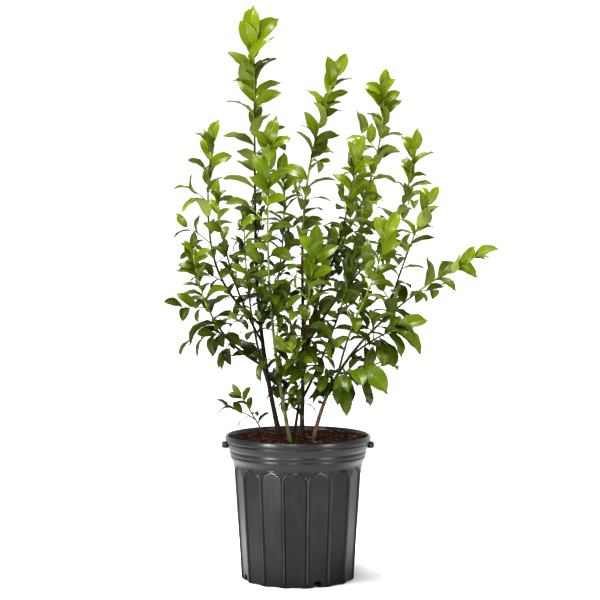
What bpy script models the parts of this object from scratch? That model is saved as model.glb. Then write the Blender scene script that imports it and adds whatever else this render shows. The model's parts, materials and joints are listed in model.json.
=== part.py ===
"""A blueberry bush in a nursery pot, modelled as separate closed solids.

Metres, +Z up. The origin is the middle of the pot's flat underside and the bush's front faces -Y.

The bush is a table of stems. A stem is one curve: its lower share is bare and becomes a tapering limb, and
the rest is leafy and becomes a mass, which a seeded rule fills with twigs and leaves. A leaf or a twig that
would leave its mass's own space, or touch a limb or another mass, is turned, shortened or left out.
"""

import math
import random
from dataclasses import dataclass

import bmesh
import bpy
import numpy as np
from mathutils import Matrix, Vector
from mathutils.bvhtree import BVHTree

# Clearance between neighbouring solids
GAP = 0.0003

# Pot: a ten and a half inch nursery pot, blow moulded
POT_HEIGHT = 0.266
RIM_RADIUS = 0.134
BASE_RADIUS = 0.1005
WALL = 0.0036
FLOOR = 0.004
TURN_STEPS = 48
# Outer side from the rim down: share of the rim's radius against height
OUTER_SIDE = (
    (0.986, 0.2660),
    (1.000, 0.2635),
    (1.000, 0.2560),
    (0.972, 0.2540),
    (0.937, 0.2335),
    (0.930, 0.2250),
    (0.882, 0.2140),
    (0.869, 0.1960),
    (0.780, 0.0080),
)
INNER_HEIGHTS = (0.010, 0.214, 0.225, 0.254)
LIP_WIDTH = 0.0050
LUG_SIZE = (0.014, 0.032, 0.012)
LUG_CENTRE = (0.1335, 0.0, 0.2475)
PANELS = 16
PANEL_TURN = math.radians(-2.3)
PANEL_TOP = 0.2115
PANEL_FOOT = -0.002
PANEL_TOP_WIDTH = 0.037
PANEL_FOOT_WIDTH = 0.033
PANEL_DEPTH = 0.0011
PANEL_CUTTER = 0.012
STRAIGHT_SIDE = (0.010, 0.190)
ARCH_STEPS = 6
DRAIN_HOLES = 4
DRAIN_TURN = math.radians(20.2)
DRAIN_RADIUS = 0.0075
DRAIN_HEIGHT = 0.0055
DRAIN_LENGTH = 0.016
SOIL_TOP = 0.259

# Stems
ROOTING = 0.013
FLARE_LENGTH = 0.022
FLARE_SHARE = 0.35
TAPER_POWER = 0.85
TIP_RADIUS = 0.0011
PATH_STEP = 0.030
NODE_MARGINS = (0.005, 0.0015)

# Leaves: shares of their length, then how their faces lean and how their size runs up a stem
GOLDEN_TURN = math.radians(137.5)
LEAF_WIDTH = 0.56
WIDEST_AT = 0.46
LEAF_FOLD = 0.06
LEAF_GRIP = 0.0012
GRIP_SHARE = 0.62
FACE_UP_STEM, FACE_UP, FACE_OUT, FACE_ROLL = 0.70, 0.35, 0.55, 0.75
SMALLEST_LEAF = 0.70
SIZE_WAVE = (0.12, 0.62)
TIP_LEAF_SPREAD = 9.0
TURN_JITTER, SPREAD_JITTER, SIZE_JITTER = 0.3, 10.0, 0.12
SPREAD_POWER, DROOP_POWER = 1.3, 0.6

# Twigs: every so many nodes, on the lower stretch of a leafy stem
TWIG_EVERY = 5
TWIG_STRETCH = (0.08, 0.72)
TWIG_RADIUS = 0.0012
TWIG_LENGTHS = (0.034, 0.058)
TWIG_SPREADS = (44.0, 60.0)
TWIG_LEAVES = (0.034, 0.050)
TWIG_LEAF_STEP = 0.015
TWIG_LEAF_SPREADS = (74.0, 28.0)
TWIG_LEAF_DROOP = 0.15
TWIG_GRIP = 0.0006

# A mass's own space, and what is tried before a leaf is left out
REACH = 0.115
LAP = 0.034
CLEARANCE = 0.0009
POT_MARGIN = 0.004
CROWN_AXIS = (0.010, 0.030)
TURNS_TRIED = (0.0, 30.0, -30.0, 60.0, -60.0, 95.0, -95.0)
SIZES_TRIED = (1.0, 0.8)
UP = np.array((0.0, 0.0, 1.0))

BROWN_BARK = (0.055, 0.030, 0.020)
PINK_BARK = (0.200, 0.110, 0.085)
GREEN_BARK = (0.130, 0.230, 0.030)
LEAF_GREEN = (0.105, 0.215, 0.010)
SOIL_BROWN = (0.045, 0.022, 0.015)
POT_BLACK = (0.020, 0.020, 0.021)


@dataclass(frozen=True)
class Stem:
    """One shoot. Bow is how far its middle stands off the chord, sway the depth of its S-bend."""

    name: str
    parent: str
    start: tuple
    tip: tuple
    bow: tuple
    bare: float
    girth: float
    leaf: float = 0.056
    sway: tuple = (0.0, 0.0, 0.0)
    spacing: float = 0.0158
    spread: tuple = (82.0, 36.0)
    droop: tuple = (0.35, 0.0)
    bark: tuple = BROWN_BARK
    share: float = 0.0
    fused: bool = False
    turn: float = 0.0


# Canes from the soil come first, then the boughs on them, then the side shoots fused to a leafy stem.
# A stem with a parent starts on it, a share of the way along, and its start is left empty.
STEMS = (
    Stem("left", "", (-0.030, 0.000), (-0.081, 0.050, 0.990), (-0.023, 0.014, -0.003), 0.36, 0.0047,
         leaf=0.064, sway=(-0.005, -0.001, 0.0), spread=(80.0, 38.0), turn=20.0),
    Stem("green", "", (-0.011, -0.050), (-0.049, -0.120, 0.794), (-0.019, -0.001, -0.001), 0.40, 0.0036,
         leaf=0.055, bark=GREEN_BARK, turn=140.0),
    Stem("middle", "", (0.007, -0.008), (0.065, -0.020, 0.919), (-0.028, -0.008, 0.002), 0.37, 0.0042,
         leaf=0.058, sway=(0.009, 0.0, 0.0), turn=75.0),
    Stem("right", "", (0.025, -0.050), (0.320, -0.050, 0.596), (-0.042, 0.000, 0.036), 0.50, 0.0037,
         leaf=0.060, sway=(-0.006, 0.0, 0.001), bark=PINK_BARK, spread=(70.0, 26.0), droop=(0.35, 0.15)),
    Stem("back", "", (-0.009, 0.040), (0.062, 0.170, 0.602), (-0.005, 0.010, -0.003), 0.34, 0.0026,
         leaf=0.052, bark=GREEN_BARK),
    Stem("low", "", (-0.059, 0.080), (-0.106, 0.030, 0.334), (0.001, -0.002, 0.000), 0.25, 0.0014,
         leaf=0.036, spacing=0.0120, bark=GREEN_BARK, spread=(70.0, 40.0), turn=60.0),
    Stem("inner_right", "middle", (), (0.160, 0.060, 0.899), (0.005, 0.023, -0.005), 0.32, 0.0029,
         leaf=0.058, share=0.19, sway=(-0.016, 0.002, 0.005), turn=200.0),
    Stem("outer_right", "middle", (), (0.217, 0.100, 0.792), (0.021, 0.040, -0.022), 0.33, 0.0027,
         leaf=0.056, share=0.26, sway=(-0.014, 0.004, 0.003), turn=30.0),
    Stem("front", "middle", (), (0.030, -0.135, 0.600), (-0.006, -0.020, -0.016), 0.22, 0.0023,
         leaf=0.058, share=0.22, turn=110.0),
    Stem("low_front", "middle", (), (-0.020, -0.150, 0.440), (0.012, -0.020, 0.014), 0.30, 0.0017,
         leaf=0.046, share=0.12, turn=200.0),
    Stem("pale", "right", (), (0.158, -0.130, 0.640), (-0.002, -0.011, -0.002), 0.24, 0.0022,
         leaf=0.055, share=0.30, sway=(-0.003, 0.004, 0.002), bark=GREEN_BARK, turn=50.0),
    Stem("low_right", "right", (), (0.183, -0.105, 0.468), (0.006, -0.014, 0.012), 0.20, 0.0020,
         leaf=0.060, share=0.38, spacing=0.0115, spread=(75.0, 30.0), droop=(0.8, 0.5), turn=90.0),
    Stem("drooping", "right", (), (0.118, -0.125, 0.398), (0.004, -0.012, 0.018), 0.18, 0.0019,
         leaf=0.066, share=0.20, spacing=0.0100, spread=(75.0, 35.0), droop=(1.1, 1.0), turn=10.0),
    Stem("far_left", "left", (), (-0.187, -0.090, 0.612), (-0.026, -0.017, -0.024), 0.30, 0.0025,
         leaf=0.062, share=0.195, spacing=0.0130, droop=(1.0, 0.1), turn=160.0),
    Stem("upper_left", "left", (), (-0.161, 0.080, 0.803), (-0.048, 0.013, -0.017), 0.20, 0.0027,
         leaf=0.058, share=0.30, sway=(-0.005, -0.007, -0.003), turn=130.0),
    Stem("mid_left", "left", (), (-0.147, -0.040, 0.702), (-0.013, -0.012, -0.007), 0.18, 0.0023,
         leaf=0.056, share=0.255, turn=300.0),
    Stem("back_left", "left", (), (-0.105, 0.190, 0.668), (-0.012, 0.030, -0.018), 0.24, 0.0025,
         leaf=0.057, share=0.14, turn=250.0),
    Stem("back_right", "middle", (), (0.135, 0.195, 0.690), (0.010, 0.038, -0.020), 0.24, 0.0025,
         leaf=0.057, share=0.13, turn=340.0),
    Stem("green_side", "green", (), (-0.027, 0.095, 0.742), (0.008, 0.012, -0.012), 0.0, 0.0018,
         leaf=0.052, share=0.47, fused=True, turn=15.0),
    Stem("inner_side", "inner_right", (), (0.106, -0.060, 0.771), (0.004, -0.008, -0.004), 0.0, 0.0018,
         leaf=0.055, share=0.38, fused=True, turn=70.0),
    Stem("right_side", "right", (), (0.233, -0.050, 0.689), (-0.003, 0.000, 0.001), 0.0, 0.0018,
         leaf=0.050, share=0.58, fused=True, turn=35.0),
)
STEM_OF = {stem.name: stem for stem in STEMS}


@dataclass(frozen=True)
class Leaf:
    """A leaf by its root, the way it points, the way its upper face looks, and its size."""

    root: np.ndarray
    along: np.ndarray
    face: np.ndarray
    length: float
    grip: float


@dataclass(frozen=True)
class Twig:
    """A short straight side twig by its root and its tip."""

    root: np.ndarray
    tip: np.ndarray


def unit(vector):
    return vector / max(float(np.linalg.norm(vector)), 1e-9)


def spots(stem, shares):
    """Points along a stem: an even chord, plus one bow, plus one S-shaped sway."""
    foot = start_of(stem)
    t = np.atleast_1d(np.asarray(shares, dtype=float))[:, None]
    chord = foot + (np.array(stem.tip) - foot) * t
    return chord + np.array(stem.bow) * 4.0 * t * (1.0 - t) + np.array(stem.sway) * np.sin(2.0 * math.pi * t)


def start_of(stem):
    """A cane starts just under the soil, and a side stem in the middle of the stem that bears it."""
    if stem.parent:
        return spots(STEM_OF[stem.parent], stem.share)[0]
    return np.array((*stem.start, SOIL_TOP - ROOTING))


def length_of(stem):
    line = spots(stem, np.linspace(0.0, 1.0, 33))
    return float(np.linalg.norm(np.diff(line, axis=0), axis=1).sum())


def radii_of(stem, shares):
    """Even taper from girth to tip, with a flare at a cane's foot."""
    t = np.clip(np.atleast_1d(shares), 0.0, 1.0)
    taper = stem.girth + (TIP_RADIUS - stem.girth) * t**TAPER_POWER
    flare = 0.0 if stem.parent else FLARE_SHARE * stem.girth * np.exp(-t * length_of(stem) / FLARE_LENGTH)
    return taper + flare


def heading(stem, share):
    """The way a stem runs at one share of its length."""
    ends = spots(stem, (share - 0.004, share + 0.004))
    return unit(ends[1] - ends[0])


def steps_between(stem, low, high):
    """Even shares from low to high, about one path step apart."""
    count = max(4, round(length_of(stem) * (high - low) / PATH_STEP) + 1)
    return np.linspace(low, high, count)


def group_of(stem):
    """The mass that a stem's leaves belong to."""
    return stem.parent if stem.fused else stem.name


def leafy_shares(stem):
    """The leafy stretch, which starts a hair past the end of the limb."""
    start = 0.0 if stem.fused else stem.bare + 1.3 * GAP / length_of(stem)
    return start, 1.0


def leaf_corners(leaf, swell=0.0):
    """A folded blade's corners: its tip, the lower and upper end of its thick root, and its two sides."""
    side = unit(np.cross(leaf.face, leaf.along))
    length = leaf.length + 2.0 * swell
    half = 0.5 * LEAF_WIDTH * leaf.length + swell
    middle = leaf.root + leaf.along * (WIDEST_AT * length) + leaf.face * (LEAF_FOLD * leaf.length)
    grip = leaf.face * (leaf.grip + 0.5 * swell)
    tip = leaf.root + leaf.along * length
    return tip, leaf.root - grip, leaf.root + grip, middle + side * half, middle - side * half


# A blade is two pyramids on the ring of tip, lower root and upper root, one out to each side
BLADE_FACES = [face for k in range(3) for face in ((k, (k + 1) % 3, 4), ((k + 1) % 3, k, 3))]


def leaf_guard(leaf):
    """The blade's faces, a little swollen, for the test against its neighbours."""
    return list(leaf_corners(leaf, CLEARANCE)), BLADE_FACES


def line_guard(points, radii, sides=5):
    """A plain tube round a line, swollen as much, for the same test."""
    ways = np.gradient(points, axis=0)
    across = np.cross(ways, (0.31, 0.87, 0.38))
    across /= np.linalg.norm(across, axis=1)[:, None]
    other = np.cross(ways / np.linalg.norm(ways, axis=1)[:, None], across)
    turns = np.arange(sides) * 2.0 * math.pi / sides
    reach = (np.asarray(radii) + CLEARANCE)[:, None, None]
    rings = points[:, None, :] + reach * (
        np.cos(turns)[None, :, None] * across[:, None, :] + np.sin(turns)[None, :, None] * other[:, None, :]
    )
    faces = [
        [row * sides + k, row * sides + (k + 1) % sides, (row + 1) * sides + (k + 1) % sides,
         (row + 1) * sides + k]
        for row in range(len(points) - 1)
        for k in range(sides)
    ]
    return list(rings.reshape(-1, 3)), faces


def twig_guard(twig):
    return line_guard(np.array((twig.root, twig.tip)), np.full(2, TWIG_RADIUS))


def merged(guards):
    """One search tree of many guards."""
    corners, faces = [], []
    for some, shape in guards:
        faces += [[len(corners) + index for index in face] for face in shape]
        corners += some
    return BVHTree.FromPolygons([tuple(corner) for corner in corners], faces)


def nearest(points, line):
    """Each point's distance to the nearest point of a line."""
    return np.linalg.norm(points[:, None, :] - line[None, :, :], axis=2).min(axis=1)


class Space:
    """The room that one mass keeps to."""

    def __init__(self, group, lines, solids):
        self.own = lines[group]
        self.others = np.concatenate([line for name, line in lines.items() if name != group])
        self.solids = solids
        self.blades = []

    def holds(self, guard):
        """True where a guard stays in this room, above the pot, and clear of every other solid."""
        corners = np.array(guard[0])
        own = nearest(corners, self.own)
        low = (np.hypot(corners[:, 0], corners[:, 1]) < RIM_RADIUS + POT_MARGIN) & (
            corners[:, 2] < POT_HEIGHT + POT_MARGIN
        )
        if low.any() or (own > REACH).any() or (own > nearest(corners, self.others) + LAP).any():
            return False
        tree = merged([guard])
        return not any(tree.overlap(other) for other in (self.solids, *self.blades))

    def fill(self, guard):
        """Counts one more blade of this mass as taken room."""
        self.blades.append(merged([guard]))


def bearing(way, turn):
    """The direction out from a stem at one turn about it."""
    side = unit(np.cross(way, (0.0, 1.0, 0.0)))
    return math.cos(turn) * side + math.sin(turn) * np.cross(way, side)


def place_leaf(space, root, way, turn, spread, droop, length, grip, roll):
    """The first leaf that fits of those tried by turn and size, or None."""
    for size in SIZES_TRIED:
        for extra in TURNS_TRIED:
            out = bearing(way, turn + math.radians(extra))
            along = unit(math.cos(spread) * way + math.sin(spread) * out - droop * UP)
            outward = unit(np.array((root[0] - CROWN_AXIS[0], root[1] - CROWN_AXIS[1], 0.0)))
            face = FACE_UP_STEM * way + FACE_UP * UP + FACE_OUT * outward
            face = face + FACE_ROLL * roll * np.cross(way, out)
            face = unit(face - along * float(face @ along))
            leaf = Leaf(root, along, face, length * size, grip)
            if space.holds(leaf_guard(leaf)):
                space.fill(leaf_guard(leaf))
                return leaf
    return None


def place_twig(space, root, way, turn, draw):
    """A short twig with its leaves, or None where there is no room for it."""
    reach = draw.uniform(*TWIG_LENGTHS)
    spread = math.radians(draw.uniform(*TWIG_SPREADS))
    count = int(reach / TWIG_LEAF_STEP) + 1
    bends = [draw.uniform(-1.0, 1.0) for _ in range(count)]
    sizes = [draw.uniform(*TWIG_LEAVES) for _ in range(count)]
    for extra in TURNS_TRIED:
        out = bearing(way, turn + math.radians(extra))
        along = unit(math.cos(spread) * way + math.sin(spread) * out)
        twig = Twig(root, root + along * reach)
        if not space.holds(twig_guard(twig)):
            continue
        leaves = []
        wide, steep = TWIG_LEAF_SPREADS
        for k in range(count):
            share = (k + 1.0) / count
            place = root + along * (reach * share - NODE_MARGINS[1])
            opening = math.radians(wide + (steep - wide) * share + SPREAD_JITTER * bends[k])
            around = turn + k * math.pi + TURN_JITTER * bends[k]
            leaves.append(place_leaf(space, place, along, around, opening, TWIG_LEAF_DROOP, sizes[k],
                                     TWIG_GRIP, bends[k]))
        return twig, [leaf for leaf in leaves if leaf]
    return None


def dress_stem(stem, space):
    """Leaves and twigs up one stem: a golden spiral of nodes, wide below and steep at the tip."""
    leaves, twigs = [], []
    low, high = leafy_shares(stem)
    length = length_of(stem)
    count = max(3, round(length * (high - low) / stem.spacing))
    for k in range(count + 1):
        draw = random.Random(f"{stem.name} {k}")
        jitter = [draw.uniform(-1.0, 1.0) for _ in range(4)]
        climb = k / count
        share = low + (high - low) * climb
        share = min(max(share, low + NODE_MARGINS[0] / length), high - NODE_MARGINS[1] / length)
        root = spots(stem, share)[0]
        way = heading(stem, share)
        turn = math.radians(stem.turn) + k * GOLDEN_TURN + TURN_JITTER * jitter[0]
        grip = min(LEAF_GRIP, GRIP_SHARE * float(radii_of(stem, share)[0]))
        if k % TWIG_EVERY == TWIG_EVERY // 2 and TWIG_STRETCH[0] < climb < TWIG_STRETCH[1]:
            grown = place_twig(space, root, way, turn, draw)
            if grown:
                twigs.append(grown[0])
                leaves += grown[1]
                continue
        swing = stem.spread[0] + (stem.spread[1] - stem.spread[0]) * climb**SPREAD_POWER
        swing = TIP_LEAF_SPREAD if k == count else swing + SPREAD_JITTER * jitter[1]
        droop = stem.droop[0] + (stem.droop[1] - stem.droop[0]) * climb**DROOP_POWER
        wave = math.sin(math.pi * (SIZE_WAVE[0] + SIZE_WAVE[1] * climb))
        size = stem.leaf * (SMALLEST_LEAF + (1.0 - SMALLEST_LEAF) * wave) * (1.0 + SIZE_JITTER * jitter[2])
        leaf = place_leaf(space, root, way, turn, math.radians(swing), droop, size, grip, jitter[3])
        if leaf:
            leaves.append(leaf)
    return leaves, twigs


def grow():
    """Every mass's leaves and twigs by name, each kept clear of what grew before it."""
    lines, stem_guards, limb_guards = {}, {}, []
    for stem in STEMS:
        low, high = leafy_shares(stem)
        shares = steps_between(stem, low, high)
        line = spots(stem, shares)
        group = group_of(stem)
        lines[group] = np.concatenate([lines[group], line]) if group in lines else line
        stem_guards.setdefault(group, []).append(line_guard(line, radii_of(stem, shares)))
        if not stem.fused:
            shares = steps_between(stem, 0.0, stem.bare)
            limb_guards.append(line_guard(spots(stem, shares), radii_of(stem, shares)))
    masses, grown_guards = {}, {}
    for group in lines:
        others = [guard for name, guards in stem_guards.items() if name != group for guard in guards]
        earlier = [guard for guards in grown_guards.values() for guard in guards]
        space = Space(group, lines, merged(limb_guards + others + earlier))
        leaves, twigs = [], []
        for stem in STEMS:
            if group_of(stem) == group:
                more_leaves, more_twigs = dress_stem(stem, space)
                leaves += more_leaves
                twigs += more_twigs
        masses[group] = (leaves, twigs)
        grown_guards[group] = [leaf_guard(leaf) for leaf in leaves]
        grown_guards[group] += [twig_guard(twig) for twig in twigs]
    return masses


def finish(name, colour, roughness):
    material = bpy.data.materials.new(name)
    material.use_nodes = True
    shader = material.node_tree.nodes["Principled BSDF"]
    shader.inputs["Base Color"].default_value = (*colour, 1.0)
    shader.inputs["Roughness"].default_value = roughness
    shader.inputs["Metallic"].default_value = 0.0
    material.diffuse_color = (*colour, 1.0)
    return material


def place_object(name, mesh, collection, material=None):
    thing = bpy.data.objects.new(name, mesh)
    collection.objects.link(thing)
    if material:
        mesh.materials.clear()
        mesh.materials.append(material)
    return thing


def evaluated_mesh(thing):
    bpy.context.view_layer.update()
    graph = bpy.context.evaluated_depsgraph_get()
    return bpy.data.meshes.new_from_object(thing.evaluated_get(graph))


def tube(name, points, radii, detail, collection):
    """A tapering tube: a bevelled curve made a mesh, with its caps welded on."""
    widest = float(np.max(radii))
    curve = bpy.data.curves.new(name, "CURVE")
    curve.dimensions = "3D"
    curve.bevel_depth = widest
    curve.bevel_resolution = detail
    curve.use_fill_caps = True
    spline = curve.splines.new("POLY")
    spline.points.add(len(points) - 1)
    for knot, place, radius in zip(spline.points, points, radii):
        knot.co = (*place, 1.0)
        knot.radius = float(radius) / widest
    guide = bpy.data.objects.new(name, curve)
    collection.objects.link(guide)
    mesh = evaluated_mesh(guide)
    welded = bmesh.new()
    welded.from_mesh(mesh)
    bmesh.ops.remove_doubles(welded, verts=welded.verts, dist=1e-6)
    bmesh.ops.recalc_face_normals(welded, faces=welded.faces)
    welded.to_mesh(mesh)
    welded.free()
    matrix = guide.matrix_world.copy()
    bpy.data.objects.remove(guide)
    bpy.data.curves.remove(curve)
    thing = place_object(name, mesh, collection)
    thing.matrix_world = matrix
    return thing


def leaf_object(leaf, collection):
    """A blade of six faces: a sphere's ring of three corners is tip and root, its poles are the sides."""
    mesh = bpy.data.meshes.new("blade")
    shape = bmesh.new()
    bmesh.ops.create_uvsphere(shape, u_segments=3, v_segments=2, radius=1.0)
    *ring, left, right = leaf_corners(leaf)
    for corner in shape.verts:
        if abs(corner.co.z) > 0.5:
            corner.co = Vector(left if corner.co.z > 0.0 else right)
        else:
            corner.co = Vector(ring[round(math.atan2(corner.co.y, corner.co.x) * 1.5 / math.pi) % 3])
    if shape.calc_volume(signed=True) < 0.0:
        bmesh.ops.reverse_faces(shape, faces=shape.faces)
    shape.to_mesh(mesh)
    shape.free()
    return place_object("blade", mesh, collection)


def twig_object(twig, collection):
    """A three-sided cone frustum from root to tip."""
    mesh = bpy.data.meshes.new("twig")
    shape = bmesh.new()
    run = Vector(twig.tip - twig.root)
    bmesh.ops.create_cone(shape, cap_ends=True, segments=3, radius1=TWIG_RADIUS, radius2=0.8 * TWIG_RADIUS,
                          depth=run.length)
    middle = Matrix.Translation(Vector(twig.root) + run / 2.0)
    bmesh.ops.transform(shape, matrix=middle @ run.to_track_quat("Z", "Y").to_matrix().to_4x4(),
                        verts=shape.verts)
    shape.to_mesh(mesh)
    shape.free()
    return place_object("twig", mesh, collection)


def boolean(thing, operation, operand):
    """A Boolean with a whole collection. The exact solver leaves edges with three faces here."""
    step = thing.modifiers.new(operation.lower(), "BOOLEAN")
    step.operation = operation
    step.operand_type = "COLLECTION"
    step.collection = operand
    step.solver = "MANIFOLD"


def apply_modifiers(thing):
    mesh = evaluated_mesh(thing)
    old = thing.data
    thing.modifiers.clear()
    thing.data = mesh
    bpy.data.meshes.remove(old)


def keep_largest_piece(mesh):
    """Drops loose scraps and the skins of sealed hollows, and turns every face to three corners."""
    shape = bmesh.new()
    shape.from_mesh(mesh)
    bmesh.ops.triangulate(shape, faces=shape.faces)
    shape.verts.ensure_lookup_table()
    unseen, pieces = set(shape.verts), []
    while unseen:
        queue, piece = [unseen.pop()], []
        while queue:
            corner = queue.pop()
            piece.append(corner)
            for edge in corner.link_edges:
                other = edge.other_vert(corner)
                if other in unseen:
                    unseen.remove(other)
                    queue.append(other)
        pieces.append(piece)
    pieces.sort(key=len)
    bmesh.ops.delete(shape, geom=[corner for piece in pieces[:-1] for corner in piece], context="VERTS")
    shape.to_mesh(mesh)
    shape.free()


def empty_out(collection):
    for thing in list(collection.objects):
        bpy.data.objects.remove(thing)


def smooth(mesh):
    mesh.shade_smooth()
    mesh.set_sharp_from_angle(angle=math.radians(40.0))


def new_collection(name):
    collection = bpy.data.collections.new(name)
    bpy.context.scene.collection.children.link(collection)
    return collection


def turned(name, profile, collection, material):
    """A profile of radius and height, top to bottom down the outer side, turned about the Z axis."""
    mesh = bpy.data.meshes.new(name)
    edges = [(k, k + 1) for k in range(len(profile) - 1)]
    mesh.from_pydata([(radius, 0.0, height) for radius, height in profile], edges, [])
    thing = place_object(name, mesh, collection, material)
    screw = thing.modifiers.new("turn", "SCREW")
    screw.axis = "Z"
    screw.angle = 2.0 * math.pi
    screw.steps = TURN_STEPS
    screw.render_steps = TURN_STEPS
    screw.use_merge_vertices = True
    screw.merge_threshold = 0.00002
    screw.use_smooth_shade = True
    return thing


def outer_radius(height):
    """The radius of the pot's outer side at a height, between the points of its profile."""
    points = [(share * RIM_RADIUS, level) for share, level in OUTER_SIDE] + [(BASE_RADIUS, 0.0)]
    for (upper, top), (lower, bottom) in zip(points, points[1:]):
        if bottom <= height <= top:
            return lower + (upper - lower) * (height - bottom) / (top - bottom)
    return points[0][0]


def inner_side():
    """Radius and height up the inner side, one wall inside the outer side at each of a few heights."""
    foot = (outer_radius(INNER_HEIGHTS[0]) - WALL, FLOOR)
    lip = (RIM_RADIUS - LIP_WIDTH, POT_HEIGHT)
    return (foot, *((outer_radius(height) - WALL, height) for height in INNER_HEIGHTS[1:]), lip)


def arch_outline():
    """Half widths and heights of one panel's outline, its round top drawn by a half circle."""
    half_top, half_foot = PANEL_TOP_WIDTH / 2.0, PANEL_FOOT_WIDTH / 2.0
    spring = PANEL_TOP - half_top
    turns = [math.pi * k / ARCH_STEPS for k in range(ARCH_STEPS + 1)]
    arch = [(half_top * math.cos(turn), spring + half_top * math.sin(turn)) for turn in turns]
    return [(half_foot, PANEL_FOOT)] + arch + [(-half_foot, PANEL_FOOT)]


def panel_cutter(number, collection):
    """A flat arch that leans with the wall and bites one shallow panel out of it."""
    curve = bpy.data.curves.new("arch", "CURVE")
    curve.dimensions = "2D"
    curve.fill_mode = "BOTH"
    curve.extrude = PANEL_CUTTER / 2.0
    outline = arch_outline()
    spline = curve.splines.new("POLY")
    spline.points.add(len(outline) - 1)
    for knot, (across, height) in zip(spline.points, outline):
        knot.co = (across, height - PANEL_FOOT, 0.0, 1.0)
    spline.use_cyclic_u = True
    low, high = (outer_radius(height) for height in STRAIGHT_SIDE)
    slope = (high - low) / (STRAIGHT_SIDE[1] - STRAIGHT_SIDE[0])
    lean = math.atan(slope)
    side_shrink = math.sqrt(1.0 - (PANEL_FOOT_WIDTH / 2.0 / low) ** 2)
    foot_radius = (low - slope * (STRAIGHT_SIDE[0] - PANEL_FOOT)) * side_shrink
    depth = foot_radius - PANEL_DEPTH + PANEL_CUTTER / 2.0
    turn = PANEL_TURN + 2.0 * math.pi * number / PANELS
    stand = Matrix.Rotation(turn, 4, "Z") @ Matrix.Translation((0.0, -depth, PANEL_FOOT))
    tilt = Matrix.Rotation(math.pi / 2.0 + lean, 4, "X")
    guide = bpy.data.objects.new("arch", curve)
    collection.objects.link(guide)
    mesh = evaluated_mesh(guide)
    welded = bmesh.new()
    welded.from_mesh(mesh)
    bmesh.ops.remove_doubles(welded, verts=welded.verts, dist=1e-6)
    bmesh.ops.transform(welded, matrix=stand @ tilt, verts=welded.verts)
    bmesh.ops.recalc_face_normals(welded, faces=welded.faces)
    welded.to_mesh(mesh)
    welded.free()
    bpy.data.objects.remove(guide)
    bpy.data.curves.remove(curve)
    return place_object("panel_cutter", mesh, collection)


def drain_cutter(number, collection):
    """A round bar through the wall at the very foot, which leaves an arched notch."""
    turn = -math.pi / 2.0 + DRAIN_TURN + 2.0 * math.pi * number / DRAIN_HOLES
    mesh = bpy.data.meshes.new("drain_cutter")
    shape = bmesh.new()
    bmesh.ops.create_cone(shape, cap_ends=True, segments=10, radius1=DRAIN_RADIUS, radius2=DRAIN_RADIUS,
                          depth=DRAIN_LENGTH)
    place = Matrix.Rotation(turn, 4, "Z") @ Matrix.Translation((BASE_RADIUS, 0.0, DRAIN_HEIGHT))
    place = place @ Matrix.Rotation(math.pi / 2.0, 4, "Y")
    bmesh.ops.transform(shape, matrix=place, verts=shape.verts)
    shape.to_mesh(mesh)
    shape.free()
    return place_object("drain_cutter", mesh, collection)


def lug(side, collection):
    """The moulded block under the rim at one side."""
    mesh = bpy.data.meshes.new("lug")
    shape = bmesh.new()
    bmesh.ops.create_cube(shape, size=1.0)
    stretch = Matrix.Diagonal((*LUG_SIZE, 1.0))
    place = Matrix.Translation((side * LUG_CENTRE[0], LUG_CENTRE[1], LUG_CENTRE[2]))
    bmesh.ops.transform(shape, matrix=place @ stretch, verts=shape.verts)
    shape.to_mesh(mesh)
    shape.free()
    return place_object("lug", mesh, collection)


def build_pot(home):
    """The shell with its lugs, less the arched panels and the drain notches."""
    outer = [(share * RIM_RADIUS, height) for share, height in OUTER_SIDE] + [(BASE_RADIUS, 0.0), (0.0, 0.0)]
    inner = [(0.0, FLOOR)] + list(inner_side())
    pot = turned("pot", inner + outer, home, finish("moulded polyethylene", POT_BLACK, 0.42))
    lugs = new_collection("lugs")
    bites = new_collection("bites")
    for side in (-1.0, 1.0):
        lug(side, lugs)
    for number in range(PANELS):
        panel_cutter(number, bites)
    for number in range(DRAIN_HOLES):
        drain_cutter(number, bites)
    boolean(pot, "UNION", lugs)
    boolean(pot, "DIFFERENCE", bites)
    apply_modifiers(pot)
    keep_largest_piece(pot.data)
    smooth(pot.data)
    for collection in (lugs, bites):
        empty_out(collection)
        bpy.data.collections.remove(collection)


def build_soil(home):
    """The root ball: it fills the pot to just under the rim, a gap inside the pot's inner side."""
    side = [(radius - GAP, height) for radius, height in inner_side() if FLOOR < height < SOIL_TOP]
    top = (side[-1][0], SOIL_TOP)
    foot = (inner_side()[0][0] - 2.0 * GAP, FLOOR + GAP)
    profile = [(0.0, SOIL_TOP), top] + list(reversed(side)) + [foot, (0.0, FLOOR + GAP)]
    return turned("soil", profile, home, finish("bark mix", SOIL_BROWN, 0.95))


def sleeve(stem, collection):
    """The parent's own tube, a gap wider, that trims a bough where it joins."""
    shares = steps_between(stem, 0.0, stem.bare)
    return tube("sleeve", spots(stem, shares), radii_of(stem, shares) + GAP, 1, collection)


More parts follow.
